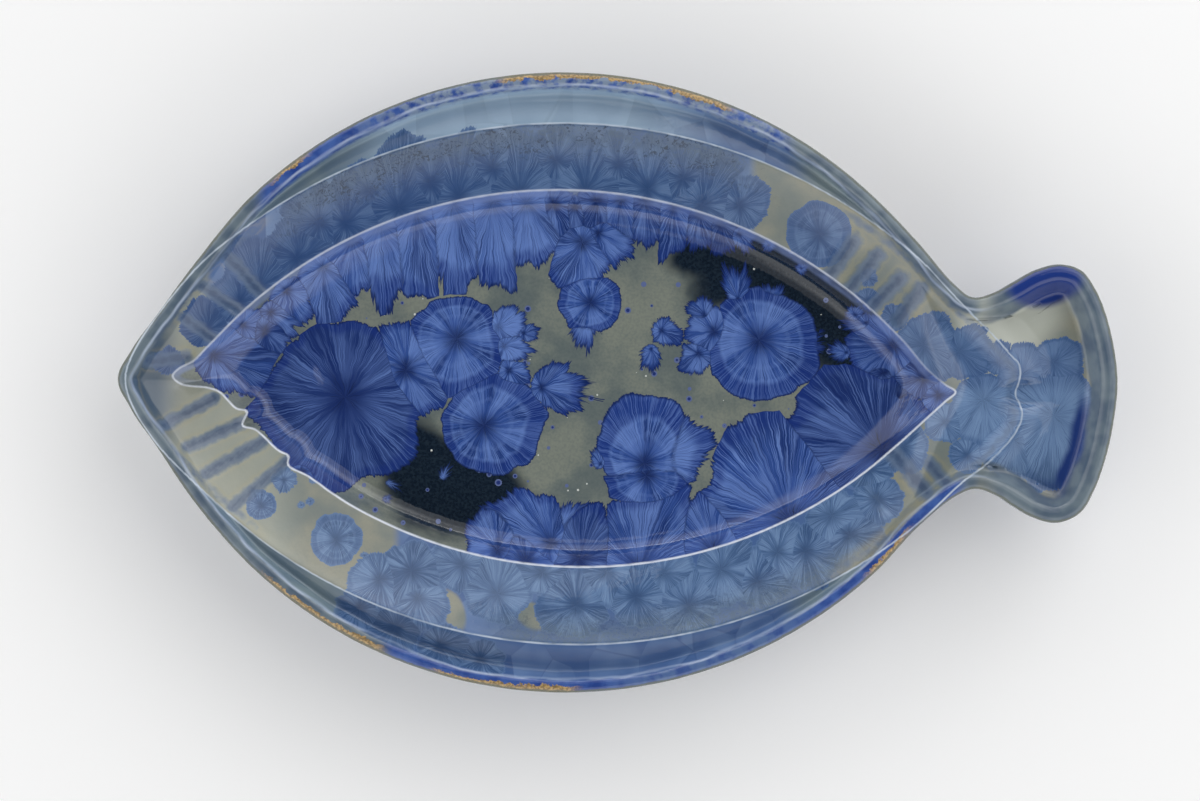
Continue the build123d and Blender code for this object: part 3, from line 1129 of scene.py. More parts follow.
def fan_group() -> bpy.types.NodeTree:
    """The needles, rings and feathered edge of the crystal that a place lies in.

    The third number of Offset is the crystal's key: its fraction is how light the crystal is, and a
    key below nought has growth rings.

    Returns:
        The node group.
    """
    colours = {name: "Color" for name in COLOUR_NAMES}
    inputs = {"Offset": "Vector", "Nearest": "Float", "Second": "Float", **colours, "Feather": "Float",
              "Lobes": "Float"}
    web, given, end = new_group("crystal_fan", inputs, {"Color": "Color", "Cover": "Float"})
    deep, body, light, rim, border, hair = (given[name] for name in COLOUR_NAMES)
    x, y, key = web.parts(given["Offset"])
    from_middle = web.joined(x, y, 0.0)
    far = web.math("MAXIMUM", web.vector("LENGTH", from_middle), 0.01)
    aim = web.vector("NORMALIZE", from_middle)
    reach = web.math("MAXIMUM", web.less(far, given["Nearest"]), 0.5)
    tone = web.math("DIVIDE", web.math("FRACT", web.math("ABSOLUTE", key)), 0.9)
    ringed = web.math("LESS_THAN", key, 0.0)

    def spokes(count: float, drift: float, detail: float) -> Socket:
        """Noise that changes quickly round the crystal and slowly outwards."""
        lift = web.mad(far, drift, web.times(key, 3.37))
        return web.noise(web.vector("ADD", web.scaled(aim, count), web.joined(0.0, 0.0, lift)), 1.0, detail)

    def around(value: Socket, size: float) -> Socket:
        """The value less a half, times size."""
        return web.times(web.less(value, 0.5), size)

    fine, middle = spokes(64.0, 0.05, 2.0), spokes(24.0, 0.05, 1.0)
    coarse, broad = spokes(7.0, 0.06, 1.0), spokes(1.7, 0.03, 1.0)
    needles = web.choose(web.span(far, 3.0, 9.0), middle, fine)
    ragged = web.math("ADD", web.math("ADD", around(coarse, 6.0), around(middle, 6.0)), around(fine, 4.5))
    lobed = web.times(around(broad, 2.0), reach, given["Lobes"], web.span(ringed, 0.0, 1.0, 1.0, 0.5))
    feather = web.times(given["Feather"], web.span(ringed, 0.0, 1.0, 1.0, 0.35))
    edge = web.math("ADD", web.mad(ragged, feather, given["Nearest"]), lobed)
    share = web.math("DIVIDE", far, web.math("MAXIMUM", web.less(far, edge), 0.5))

    grown = web.span(share, 0.1, 0.55, 0.15, 1.0)
    calm = web.times(grown, web.span(tone, 0.0, 0.35, 0.3, 1.0))
    bright = web.times(web.span(needles, 0.53, 0.66), web.span(tone, 0.0, 0.6, 0.45, 0.85), grown)
    dark = web.times(web.span(needles, 0.46, 0.36, 0.0, 0.65), web.span(share, 0.1, 0.5, 0.3, 1.0))
    wave = web.math("SINE", web.mad(coarse, 3.0, web.times(share, 26.0)))
    rings = web.times(web.span(wave, 0.0, 1.0, 0.0, 0.22), ringed, web.span(share, 0.3, 0.6))
    outer = web.less(share, web.mad(ringed, -0.13, 0.88))
    on_rim = web.times(web.span(outer, -0.05, 0.05, 0.0, 0.85), web.span(needles, 0.35, 0.62, 1.0, 0.5))
    hairs = web.times(web.span(needles, 0.56, 0.61), web.span(coarse, 0.30, 0.46),
                      web.span(share, 0.46, 0.04, 0.0, 0.9))
    meeting = web.span(web.less(given["Second"], given["Nearest"]), 0.6, 0.1)
    colour = web.blend(web.span(share, 0.0, 0.4), deep, body)
    for where, laid in (
            (web.span(tone, 0.5, 1.0, 0.0, 0.65), light),
            (web.span(tone, 0.5, 0.0, 0.0, 0.85), deep),
            (web.times(web.span(broad, 0.50, 0.62, 0.0, 0.55), calm), light),
            (web.times(web.span(broad, 0.47, 0.36, 0.0, 0.55), calm), deep),
            (web.times(web.span(coarse, 0.48, 0.62, 0.0, 0.4), calm), light),
            (bright, light),
            (dark, deep),
            (rings, light),
            (on_rim, rim),
            (web.span(edge, -0.7, -0.15, 0.0, 0.75), border),
            (hairs, hair),
            (web.times(meeting, web.span(needles, 0.42, 0.6, 0.0, 0.6)), border)):
        colour = web.blend(where, colour, laid)
    web.fill(end, {"Color": colour, "Cover": web.span(edge, 0.14, -0.06)})
    return web.tree


@dataclass(frozen=True)
class Seed:
    """A crystal, in pixels of the photograph.

    It reaches furthest towards one angle, counted in degrees clockwise from the photograph's right,
    by reach / (1 - lean), and reach to both sides of that.
    """

    px: float
    py: float
    reach: float
    lean: float = 0.0
    toward: float = 0.0
    tone: float = 0.5
    ringed: bool = False

    def values(self, number: int) -> dict[str, tuple | float]:
        """What the group takes for this crystal.

        Args:
            number: the crystal's number, from 1.

        Returns:
            The group's inputs by name.
        """
        x, y = photo_point(self.px, self.py)
        key = (number + 0.9 * self.tone) * (-1.0 if self.ringed else 1.0)
        angle = math.radians(self.toward)
        lean = (self.lean * math.cos(angle), -self.lean * math.sin(angle), 0.0)
        return {"Centre": (x, y, -key), "Lean": lean, "Reach": self.reach * MM_PER_PIXEL}


WELL_SEEDS = [
    # the nose end and the big round crystal
    Seed(211, 355, 30, 0.62, 8, 0.35), Seed(240, 325, 20, 0.5, 20, 0.4), Seed(268, 312, 18, 0.6, 40, 0.3),
    Seed(321, 266, 24, 0.6, 78, 0.75), Seed(285, 290, 20, 0.55, 62, 0.45),
    Seed(262, 330, 24, 0.3, 40, 0.2), Seed(343, 397, 84, 0.13, 120, 0.09),
    Seed(266, 452, 22, 0.4, 100, 0.3), Seed(300, 472, 20, 0.2, 60, 0.4),
    # right of it
    Seed(404, 370, 40, 0.22, 55, 0.35), Seed(404, 366, 36, 0.2, 262, 0.4),
    Seed(455, 338, 50, 0.18, 102, 0.6, True), Seed(498, 326, 17, 0.5, 350, 0.85),
    Seed(503, 345, 15, 0.5, 22, 0.8), Seed(523, 332, 10, 0.3, 0, 0.3), Seed(508, 370, 15, 0.35, 30, 0.4),
    Seed(541, 387, 18, 0.62, 0, 0.35), Seed(483, 426, 50, 0.2, 345, 0.4, True),
    # the wall of needles along the upper edge
    Seed(350, 238, 34, 0.45, 84, 0.6), Seed(378, 222, 40, 0.48, 88, 0.8),
    Seed(414, 210, 42, 0.50, 90, 0.75), Seed(452, 203, 42, 0.51, 92, 0.85),
    Seed(492, 200, 40, 0.51, 90, 0.75), Seed(526, 201, 36, 0.52, 88, 0.8),
    Seed(553, 203, 26, 0.4, 84, 0.3), Seed(582, 241, 30, 0.42, 95, 0.65),
    Seed(598, 232, 22, 0.5, 28, 0.5), Seed(575, 205, 18, 0.5, 90, 0.2), Seed(596, 199, 24, 0.45, 85, 0.2),
    Seed(620, 198, 26, 0.48, 88, 0.4), Seed(646, 200, 25, 0.48, 90, 0.25),
    Seed(674, 205, 23, 0.48, 92, 0.45), Seed(700, 213, 19, 0.5, 90, 0.2),
    Seed(721, 222, 15, 0.5, 82, 0.15), Seed(740, 233, 11, 0.4, 50, 0.3),
    # alone on the floor
    Seed(590, 302, 32, 0.0, 0.0, 0.45, True), Seed(588, 311, 11, 0.7, 94, 0.95),
    Seed(662, 330, 14, 0.3, 20, 0.35), Seed(652, 349, 8, 0.6, 98, 0.4),
    Seed(715, 330, 26, 0.15, 200, 0.35), Seed(700, 353, 17, 0.3, 120, 0.3),
    Seed(706, 315, 14, 0.3, 240, 0.3), Seed(761, 339, 57, 0.10, 70, 0.4, True),
    Seed(739, 298, 10, 0.66, 262, 0.5), Seed(770, 310, 14, 0.5, 285, 0.5),
    Seed(795, 345, 11, 0.6, 352, 0.4), Seed(645, 464, 46, 0.36, 272, 0.5, True),
    Seed(652, 460, 30, 0.54, 334, 0.75), Seed(647, 476, 41, 0.0, 0.0, 0.4, True),
    Seed(600, 464, 8, 0.5, 265, 0.4),
    # the lower edge and the tail end
    Seed(551, 545, 34, 0.6, 204, 0.6), Seed(497, 550, 34, 0.3, 270, 0.55),
    Seed(525, 562, 40, 0.2, 250, 0.4), Seed(554, 541, 16, 0.67, 314, 0.9),
    Seed(580, 560, 40, 0.3, 300, 0.15), Seed(639, 570, 54, 0.45, 302, 0.35),
    Seed(715, 552, 50, 0.2, 250, 0.4), Seed(792, 521, 80, 0.22, 236, 0.55),
    Seed(884, 450, 73, 0.25, 208, 0.15), Seed(880, 402, 20, 0.2, 250, 0.1),
    Seed(896, 345, 36, 0.25, 170, 0.35), Seed(868, 322, 11, 0.5, 160, 0.3),
    Seed(925, 378, 28, 0.2, 180, 0.25), Seed(878, 296, 12, 0.3, 140, 0.3),
    Seed(908, 322, 24, 0.2, 190, 0.3), Seed(886, 372, 18, 0.3, 220, 0.15),
    Seed(848, 352, 8, 0.5, 190, 0.4), Seed(902, 398, 22, 0.2, 180, 0.1), Seed(940, 395, 24, 0.1, 90, 0.5),
    Seed(770, 244, 7), Seed(803, 268, 6), Seed(857, 314, 9), Seed(386, 483, 3, 0.7, 25, 0.9),
    Seed(441, 478, 3, 0.75, 300, 0.9), Seed(384, 500, 4, 0.3, 0, 0.2),
]

FLANGE_SEEDS = [
    # round ones on the bare glaze
    Seed(335, 540, 26, 0.0, 0.0, 0.6, True), Seed(260, 505, 15, 0.0, 0.0, 0.3, True),
    Seed(283, 480, 13, 0.0, 0.0, 0.4), Seed(820, 234, 33, 0.0, 0.0, 0.45, True),
    Seed(939, 322, 12, 0.0, 0.0, 0.7), Seed(300, 505, 4), Seed(309, 502, 4), Seed(364, 556, 4),
    Seed(312, 480, 4), Seed(255, 497, 8),
    # the fans of the upper strip
    Seed(170, 362, 14, 0.2, 200, 0.2), Seed(205, 330, 22, 0.3, 250, 0.4),
    Seed(238, 302, 26, 0.3, 250, 0.5), Seed(258, 286, 30, 0.4, 262, 0.6),
    Seed(296, 258, 30, 0.4, 280, 0.4), Seed(318, 222, 32, 0.3, 250, 0.5),
    Seed(345, 222, 32, 0.35, 285, 0.4), Seed(368, 190, 26, 0.2, 255, 0.3),
    Seed(398, 207, 36, 0.45, 275, 0.5), Seed(431, 183, 30, 0.2, 260, 0.35),
    Seed(458, 196, 34, 0.45, 290, 0.55), Seed(492, 168, 30, 0.2, 265, 0.4),
    Seed(519, 192, 36, 0.4, 270, 0.6), Seed(556, 160, 28, 0.2, 260, 0.3),
    Seed(585, 190, 36, 0.4, 290, 0.35), Seed(618, 164, 28, 0.2, 260, 0.3),
    Seed(648, 188, 34, 0.4, 265, 0.45), Seed(684, 178, 30, 0.2, 285, 0.25),
    Seed(703, 204, 34, 0.4, 285, 0.5), Seed(740, 205, 28, 0.2, 300, 0.4),
    # the fans of the lower strip
    Seed(411, 571, 34, 0.2, 100, 0.3), Seed(379, 580, 30, 0.2, 130, 0.5),
    Seed(418, 598, 28, 0.2, 60, 0.6), Seed(497, 594, 36, 0.2, 280, 0.7),
    Seed(462, 566, 28, 0.2, 200, 0.6), Seed(542, 574, 30, 0.3, 250, 0.65),
    Seed(576, 606, 36, 0.1, 200, 0.35), Seed(606, 572, 30, 0.3, 60, 0.7),
    Seed(636, 598, 34, 0.2, 300, 0.5), Seed(664, 574, 28, 0.3, 20, 0.7),
    Seed(688, 606, 34, 0.2, 260, 0.55), Seed(722, 570, 34, 0.3, 20, 0.7),
    Seed(757, 582, 32, 0.2, 300, 0.45), Seed(778, 553, 30, 0.3, 0, 0.65),
    Seed(806, 552, 32, 0.2, 60, 0.4), Seed(832, 516, 30, 0.3, 30, 0.7), Seed(850, 535, 30, 0.2, 60, 0.45),
    Seed(878, 500, 26, 0.0, 0.0, 0.6), Seed(870, 470, 24, 0.0, 0.0, 0.5),
    Seed(905, 448, 26, 0.0, 0.0, 0.6),
    # round the tail end and in the tail
    Seed(925, 345, 34, 0.2, 30, 0.75), Seed(868, 300, 13, 0.0, 0.0, 0.3),
    Seed(896, 318, 14, 0.0, 0.0, 0.4), Seed(870, 277, 9, 0.0, 0.0, 0.3), Seed(960, 352, 26, 0.3, 0, 0.8),
    Seed(946, 422, 22, 0.0, 0.0, 0.7), Seed(968, 455, 18, 0.0, 0.0, 0.6),
    Seed(985, 400, 34, 0.3, 90, 0.95), Seed(1022, 374, 27, 0.2, 300, 0.9),
    Seed(1055, 362, 26, 0.2, 0, 0.8), Seed(1000, 362, 17, 0.2, 280, 0.8),
    Seed(1055, 416, 58, 0.15, 90, 1.0), Seed(1015, 440, 34, 0.2, 120, 0.95),
    Seed(1043, 280, 14, 0.0, 0.0, 0.0),
    # the gutter's lower left
    Seed(360, 608, 24, 0.2, 120, 0.15), Seed(395, 628, 28, 0.2, 120, 0.1),
    Seed(440, 646, 26, 0.2, 60, 0.15), Seed(480, 660, 24, 0.2, 60, 0.2),
]

DARK_PATCHES = (
    Oval(836, 315, 30.0, 21.0, 0.6), Oval(768, 264, 27.0, 11.0, -0.35), Oval(452, 490, 25.0, 16.0, 0.1),
    Oval(905, 345, 20.0, 22.0, 0.0), Oval(410, 455, 12.0, 12.0, 0.0), Oval(718, 250, 18.0, 7.0, -0.2),
)
BARE_GAPS = (Oval(453, 611, 7.0, 3.6, 1.2), Oval(531, 616, 6.0, 4.0, 0.6))
# a painted sheen on the tail's neck
TAIL_SHEEN = Oval(1010, 322, 26.0, 15.0, -0.7)
TAIL_POOL = Oval(1078, 452, 24.0, 15.0, 1.0)
TAIL_CRYSTAL = Oval(1045, 283, 13.0, 8.0, -0.2)


class Palette(Enum):
    """The colours of a crystal: deep, body, light, rim, border and hairs."""

    WELL = (paint(22, 42, 98), paint(52, 82, 152), paint(108, 138, 202), paint(24, 48, 120),
            paint(14, 28, 72), paint(8, 15, 36))
    FLANGE = (paint(54, 80, 120), paint(68, 96, 138), paint(116, 144, 182), paint(66, 94, 137),
              paint(90, 118, 158), paint(46, 68, 102))
    GUTTER = (paint(54, 80, 128), paint(80, 107, 150), paint(118, 144, 182), paint(70, 98, 146),
              paint(62, 88, 134), paint(50, 72, 112))

    def inputs(self) -> dict[str, tuple]:
        """The colours by the names of the group's inputs."""
        return dict(zip(COLOUR_NAMES, self.value))


@dataclass
class Terrain:
    """What the inside glaze's colours are worked out from at each place, with lengths in millimetres."""

    web: Web
    place: Socket = field(init=False)
    flat: Socket = field(init=False)  # the place with its height taken away
    x: Socket = field(init=False)
    z: Socket = field(init=False)
    inset: Socket = field(init=False)  # how far inside the silhouette it lies
    crest: Socket = field(init=False)  # how far inside the crest
    well: Socket = field(init=False)  # how far inside the well's edge
    pool: Socket = field(init=False)  # how deep the grooves are, from 0 to 1
    tailwards: Socket = field(init=False)  # 0 on the body and 1 in the tail
    upper: Socket = field(init=False)  # 1 on the upper side and 0 on the lower
    lower: Socket = field(init=False)  # 1 on the lower side and 0 on the upper

    def __post_init__(self) -> None:
        """Reads the place and what the mesh carries."""
        web = self.web
        self.place = web.place()
        self.x, y, self.z = web.parts(self.place)
        self.inset, self.crest, self.well, self.pool = (web.attribute(name) for name in CARRIED)
        self.tailwards = web.span(self.x, 114.0, 128.0)
        self.upper = web.span(y, -3.0, 3.0)
        self.lower = web.less(1.0, self.upper)
        self.flat = web.flat(self.place)

    def noise(self, size: float, detail: float = 2.0, rough: float = 0.5, dent: float = 0.0) -> Socket:
        """Noise from 0 to 1 over the whole coat."""
        return self.web.noise(self.place, size, detail, rough, dent)


@dataclass(frozen=True)
class CrystalGlaze:
    """The inside glaze: crystals in the well and on the flange, over an olive ground, under clear glass."""

    name: str = "crystal_glaze"
    roughness: float = 0.06
    gutter_cells: float = 0.07  # crystals to the millimetre in the gutter

    def build(self, walls: bpy.types.NodeTree) -> bpy.types.Material:
        """Makes the material.

        Args:
            walls: the group with the outer walls' colour, which the outer side of the lip has too.

        Returns:
            The material.
        """
        material, web, shader = new_material(self.name)
        at, seed, fan = Terrain(web), seed_group(), fan_group()
        wander = web.node("TexNoise", {"Vector": at.place, "Scale": 0.22, "Detail": 2.0}).outputs["Color"]
        shift = web.scaled(web.vector("SUBTRACT", wander, (0.5, 0.5, 0.5)), 1.6)
        bent = web.flat(web.vector("ADD", at.place, shift))
        floor_fans = web.group(fan, {**self.grown(web, seed, bent, WELL_SEEDS), **Palette.WELL.inputs(),
                                     "Feather": 0.34, "Lobes": 0.30}).outputs
        strip_fans = web.group(fan, {**self.grown(web, seed, bent, FLANGE_SEEDS), **Palette.FLANGE.inputs(),
                                     "Feather": 0.22, "Lobes": 0.24}).outputs

        crowd = self.crowd(at, fan)
        strip = web.blend(strip_fans["Cover"], self.strip_ground(at, crowd), strip_fans["Color"])
        deeper = web.times(strip_fans["Cover"], web.span(at.x, -20.0, -70.0, 0.3, 0.5), at.upper)
        strip = web.blend(deeper, strip, paint(24, 56, 112))
        strip = self.pools(at, self.weather_strip(at, strip), strip_fans["Cover"])
        floor = web.blend(floor_fans["Cover"], self.well_ground(at), floor_fans["Color"])
        floor = self.specks(at, floor, floor_fans["Cover"])
        color = web.blend(web.span(at.well, -0.35, 0.35), strip, floor)

        outside_crest = web.times(web.span(at.crest, 0.3, -0.3), web.span(at.tailwards, 0.4, 0.0))
        color = web.blend(outside_crest, color, self.gutter(at, crowd, strip_fans))
        color = self.edges(at, self.tail_lip(at, self.body_lip(at, color)))
        on_wall = web.times(web.span(at.z, 37.4, 34.6), web.span(at.inset, 0.4, 0.15))
        color = web.blend(on_wall, color, web.group(walls, {"Place": at.place}).outputs["Color"])
        dimples = web.mad(at.noise(1.1, 1.0), 0.25, at.noise(6.0))
        web.fill(shader, {"Base Color": color, "Roughness": self.roughness, "IOR": 1.52,
                          "Normal": web.relief(dimples, 0.1)})
        return material

    def grown(
        self, web: Web, seed: bpy.types.NodeTree, place: Socket, seeds: list[Seed]
    ) -> dict[str, Socket]:
        """Grows the crystals one after another.

        Args:
            web: the material's web.
            seed: the group of one crystal.
            place: the place, seen from above.
            seeds: the crystals in order.

        Returns:
            The offset, the nearest edge and the second nearest edge after all have grown.
        """
        state = {"Offset": (0.0, 0.0, 0.0), "Nearest": 999.0, "Second": 999.0}
        for number, crystal in enumerate(seeds, start=1):
            made = web.group(seed, {"Place": place, **state, **crystal.values(number)})
            state = {name: made.outputs[name] for name in state}
        return state

    def well_ground(self, at: Terrain) -> Socket:
        """The bare olive glaze between the crystals of the well, with dark patches.

        Args:
            at: the places.

        Returns:
            Its colour.
        """
        web, cloud = at.web, at.noise(18.0, 3.0)
        floor = web.blend(web.span(cloud, 0.36, 0.64), paint(98, 108, 107), paint(126, 132, 122))
        for patch in DARK_PATCHES:
            size = web.mad(web.less(cloud, 0.5), 0.9, web.spot(at.place, patch))
            floor = web.blend(web.span(size, 1.3, 0.7), floor, paint(11, 25, 40))
        return web.blend(web.span(at.noise(0.9), 0.35, 0.7, 0.0, 0.2), floor, paint(58, 74, 86))

    def strip_ground(self, at: Terrain, crowd: Socket) -> Socket:
        """The glaze between the crystals of the flange: smaller crystals where they crowd, else beige.

        Args:
            at: the places.
            crowd: the colour of the smaller crystals.

        Returns:
            Its colour.
        """
        web, x, cloud = at.web, at.x, at.noise(20.0, 3.0)
        beige = web.blend(web.span(cloud, 0.35, 0.68), paint(112, 121, 118), paint(142, 142, 127))
        for where, laid in (
                (web.span(at.noise(0.8), 0.4, 0.75, 0.0, 0.12), paint(96, 106, 112)),
                # a painted sheen on the tail's neck, paler beige
                (web.span(web.spot(at.place, TAIL_SHEEN), 1.2, 0.5), paint(176, 180, 170)),
                (web.span(x, -100.0, -116.0, 0.0, 0.6), paint(158, 162, 150)),
                (web.span(x, -142.0, -154.0), paint(70, 88, 106))):
            beige = web.blend(where, beige, laid)
        crowded = web.choose(at.upper, web.band(x, -73.0, 88.0, 2.0), web.band(x, -136.0, 44.0, 2.0))
        for gap in BARE_GAPS:
            crowded = web.times(crowded, web.span(web.spot(at.place, gap), 0.8, 1.2))
        return web.blend(crowded, beige, crowd)

    def weather_strip(self, at: Terrain, color: Socket) -> Socket:
        """Turns the flange's fans olive and mottled just inside the crest.

        Args:
            at: the places.
            color: the flange's colour.

        Returns:
            The colour with these laid over it.
        """
        web, x, crest = at.web, at.x, at.crest
        mottle, clumps = at.noise(1.9, 4.0, 0.72, 1.6), at.noise(9.0)
        middle = web.choose(at.upper, web.band(x, -40.0, 84.0, 10.0), web.band(x, -110.0, 44.0, 10.0))
        olive = web.times(web.span(crest, 12.0, 2.0), web.span(mottle, 0.40, 0.58, 0.35, 1.0),
                          web.choose(at.upper, 0.55, 0.5), middle)
        fibres = web.times(web.span(crest, 15.0, 6.0), web.span(mottle, 0.49, 0.40, 0.0, 0.9),
                           web.span(clumps, 0.38, 0.52), middle, web.choose(at.upper, 0.4, 1.0))
        yellow = web.times(web.span(crest, 7.0, 1.5, 0.0, 0.55), web.span(web.gap(x, 88.0), 20.0, 6.0),
                           at.lower)
        color = web.blend(olive, color, paint(78, 94, 98))
        color = web.blend(fibres, color, paint(36, 54, 74))
        return web.blend(yellow, color, paint(164, 154, 104))

    def pools(self, at: Terrain, color: Socket, cover: Socket) -> Socket:
        """Pools blue grey glass in the grooves and along the crest, with warm rims on the pads between them.

        Args:
            at: the places.
            color: the flange's colour.
            cover: where its crystals lie.

        Returns:
            The colour with these laid over it.
        """
        web, x = at.web, at.x
        ends = web.math("ADD", web.span(x, -112.0, -126.0), web.span(x, 66.0, 78.0))
        along_crest = web.times(web.band(at.crest, 0.8, 3.8, 1.4), ends, 0.5)
        deep = web.math("MAXIMUM", at.pool, along_crest)
        wobble = web.times(web.less(at.noise(3.0), 0.5), web.span(deep, 0.0, 0.3, 0.0, 0.7))
        uneven = web.math("ADD", wobble, deep)
        warm = web.times(web.band(uneven, 0.10, 0.26, 0.1), web.span(cover, 1.0, 0.0, 0.0, 0.18))
        color = web.blend(warm, color, paint(168, 156, 112))
        color = web.blend(web.span(uneven, 0.2, 0.7, 0.0, 0.8), color, paint(86, 106, 134))
        return web.blend(web.span(uneven, 0.7, 1.05, 0.0, 0.55), color, paint(48, 66, 100))

    def crowd(self, at: Terrain, fan: bpy.types.NodeTree) -> Socket:
        """Steel blue crystals that lie close together.

        Args:
            at: the places.
            fan: the group of the crystals' colours.

        Returns:
            Their colour.
        """
        web, cell = at.web, 1.0 / self.gutter_cells
        cells = {"Vector": at.flat, "Scale": self.gutter_cells}
        first, second = (web.node("TexVoronoi", cells, feature=feature) for feature in ("F1", "F2"))
        ox, oy, _ = web.parts(web.vector("SUBTRACT", at.place, web.scaled(first.outputs["Position"], cell)))
        key = web.times(web.parts(first.outputs["Color"])[0], 40.0)
        near, next_near = (web.mad(found.outputs["Distance"], cell, -14.0) for found in (first, second))
        crystals = web.group(fan, {"Offset": web.joined(ox, oy, key), "Nearest": near, "Second": next_near,
                                   **Palette.GUTTER.inputs(), "Feather": 0.05, "Lobes": 0.0})
        return crystals.outputs["Color"]

    def gutter(self, at: Terrain, crowd: Socket, fans: dict[str, Socket]) -> Socket:
        """Crystals in the gutter, with a painted sheen along the far side, and slate towards the nose and the
        waist.

        Args:
            at: the places.
            crowd: the colour of the crystals that lie close together.
            fans: the colour and the cover of the flange's crystals, some of which reach this far.

        Returns:
            The gutter's colour.
        """
        web, x = at.web, at.x
        slate = web.blend(web.span(at.noise(30.0), 0.4, 0.6), paint(98, 118, 134), paint(120, 136, 142))
        ends = web.math("ADD", web.span(x, -72.0, -98.0), web.span(x, 52.0, 66.0))
        # a painted sheen: the gutter's far, upper side is screened paler over its crystals
        upper_sheen = web.times(at.upper, web.span(web.gap(x, -38.0), 80.0, 38.0, 0.1, 1.0))
        pale = web.blend(upper_sheen, crowd, paint(126, 142, 142), "SCREEN")
        color = web.blend(web.math("MINIMUM", ends, 1.0), pale, slate)
        reached = web.times(fans["Cover"], web.span(web.math("ABSOLUTE", x), 96.0, 90.0))
        return web.blend(reached, color, fans["Color"])

    def body_lip(self, at: Terrain, color: Socket) -> Socket:
        """Colours the body's lip royal blue along its sides and slate round the nose.

        Args:
            at: the places.
            color: the colour so far.

        Returns:
            The colour with the lip's laid over it.
        """
        web, x = at.web, at.x
        on_lip = web.less(web.mad(self.rough_edge(at), 1.6, at.inset), web.choose(at.upper, 4.0, 5.4))
        streaks = at.noise(4.5, 3.0)
        # a painted sheen: the middle of the upper lip is made paler
        pale = web.times(at.upper, web.span(web.gap(x, -10.0), 90.0, 50.0),
                         web.span(at.noise(3.0, 3.0), 0.35, 0.6))
        calmer = web.times(at.lower, web.band(x, 4.0, 60.0, 12.0), web.span(streaks, 0.35, 0.6, 0.3, 0.9))
        royal = web.blend(web.span(streaks, 0.3, 0.7), paint(40, 66, 134), paint(66, 95, 160))
        royal = web.blend(pale, royal, paint(122, 138, 160))
        royal = web.blend(calmer, royal, paint(88, 112, 152))
        along = self.along(at)
        blue = web.choose(at.upper, web.stretches(along, (0.27, 0.845)), web.stretches(along, (0.14, 0.67)))
        body = web.blend(blue, self.slate(at), royal)
        where = web.times(web.span(on_lip, 0.6, -0.6), web.span(at.tailwards, 0.5, 0.0))
        return web.blend(where, color, body)

    def tail_lip(self, at: Terrain, color: Socket) -> Socket:
        """Colours the tail's lip slate with dark pools, and breaks the whole lip to ochre where it runs thin.

        Args:
            at: the places.
            color: the colour so far.

        Returns:
            The colour with the lip's laid over it.
        """
        web, inset = at.web, at.inset
        rough_edge, wide, along = self.rough_edge(at), web.less(at.noise(16.0), 0.5), self.along(at)
        reach = web.mad(wide, 5.0, inset)
        pooled = web.times(web.band(reach, 8.4, 12.6, 1.4), web.span(web.spot(at.place, TAIL_POOL), 1.2, 0.6))
        ochre_upper = web.stretches(along, (0.155, 0.185), (0.38, 0.61))
        ochre_lower = web.stretches(along, (0.15, 0.265), (0.32, 0.46), (0.752, 0.79))
        ragged = web.mad(rough_edge, 5.0, web.mad(wide, 3.4, inset))
        thin = web.times(web.span(ragged, 2.1, 1.75), web.choose(at.upper, ochre_lower, ochre_upper))
        ochre = web.blend(web.span(at.noise(0.9, 3.0), 0.35, 0.65), paint(124, 104, 72), paint(184, 154, 104))
        # a pale broken line along the body lip's inner ridge: thin glass that breaks pale, and a painted
        # highlight
        lip_break_and_highlight = web.times(web.band(web.mad(wide, 3.0, inset), 3.9, 4.6, 0.4), web.less(1.0, at.tailwards),
                          web.span(wide, -0.2, 0.1, 0.25, 0.6))
        for where, laid in (
                (web.times(web.span(reach, 9.8, 8.2), at.tailwards), self.slate(at)),
                (pooled, paint(34, 58, 120)),
                (web.span(web.spot(at.place, TAIL_CRYSTAL), 1.15, 0.75), paint(30, 54, 124)),
                (thin, ochre),
                (lip_break_and_highlight, paint(178, 192, 216)),
                (web.span(web.mad(rough_edge, 1.2, inset), 1.0, 0.6, 0.0, 0.85), paint(92, 98, 88))):
            color = web.blend(where, color, laid)
        return color

    def rough_edge(self, at: Terrain) -> Socket:
        """Fine noise round nought that frays the lip's edges."""
        return at.web.less(at.noise(3.4, 4.0, 0.7), 0.5)

    def along(self, at: Terrain) -> Socket:
        """How far along the platter a place lies, from 0 at the nose to 1 at the tail."""
        return at.web.mad(at.x, 1.0 / 330.0, 0.5)

    def slate(self, at: Terrain) -> Socket:
        """The slate blue of the lip round the tail and the nose."""
        return at.web.blend(at.web.span(at.noise(9.0), 0.35, 0.65), paint(76, 92, 110), paint(104, 118, 128))

    def edges(self, at: Terrain, color: Socket) -> Socket:
        """Lays pale glass where it runs thin over the crest and the well's edge, with painted highlights on
        these lines.

        Args:
            at: the places.
            color: the colour so far.

        Returns:
            The colour with these lines laid over it.
        """
        web, broken = at.web, at.noise(9.0, 3.0)
        # pale lines over the crest and the well's edge: thin glass that breaks pale, and painted highlights
        # along these ridges
        line = web.times(web.band(at.crest, -0.25, 0.3, 0.25), web.span(broken, 0.3, 0.6, 0.4, 0.85))
        wide = web.times(web.band(at.well, -0.3, 2.0, 0.6), web.span(broken, 0.3, 0.6, 0.2, 0.55), at.upper)
        strength = web.choose(at.upper, 0.85, web.span(at.x, 72.0, 96.0, 0.55, 0.25))
        thin = web.times(web.band(at.well, -0.35, 0.3, 0.25), strength)
        color = web.blend(line, color, paint(196, 208, 222))
        color = web.blend(wide, color, paint(124, 144, 194))
        return web.blend(thin, color, paint(226, 232, 242))

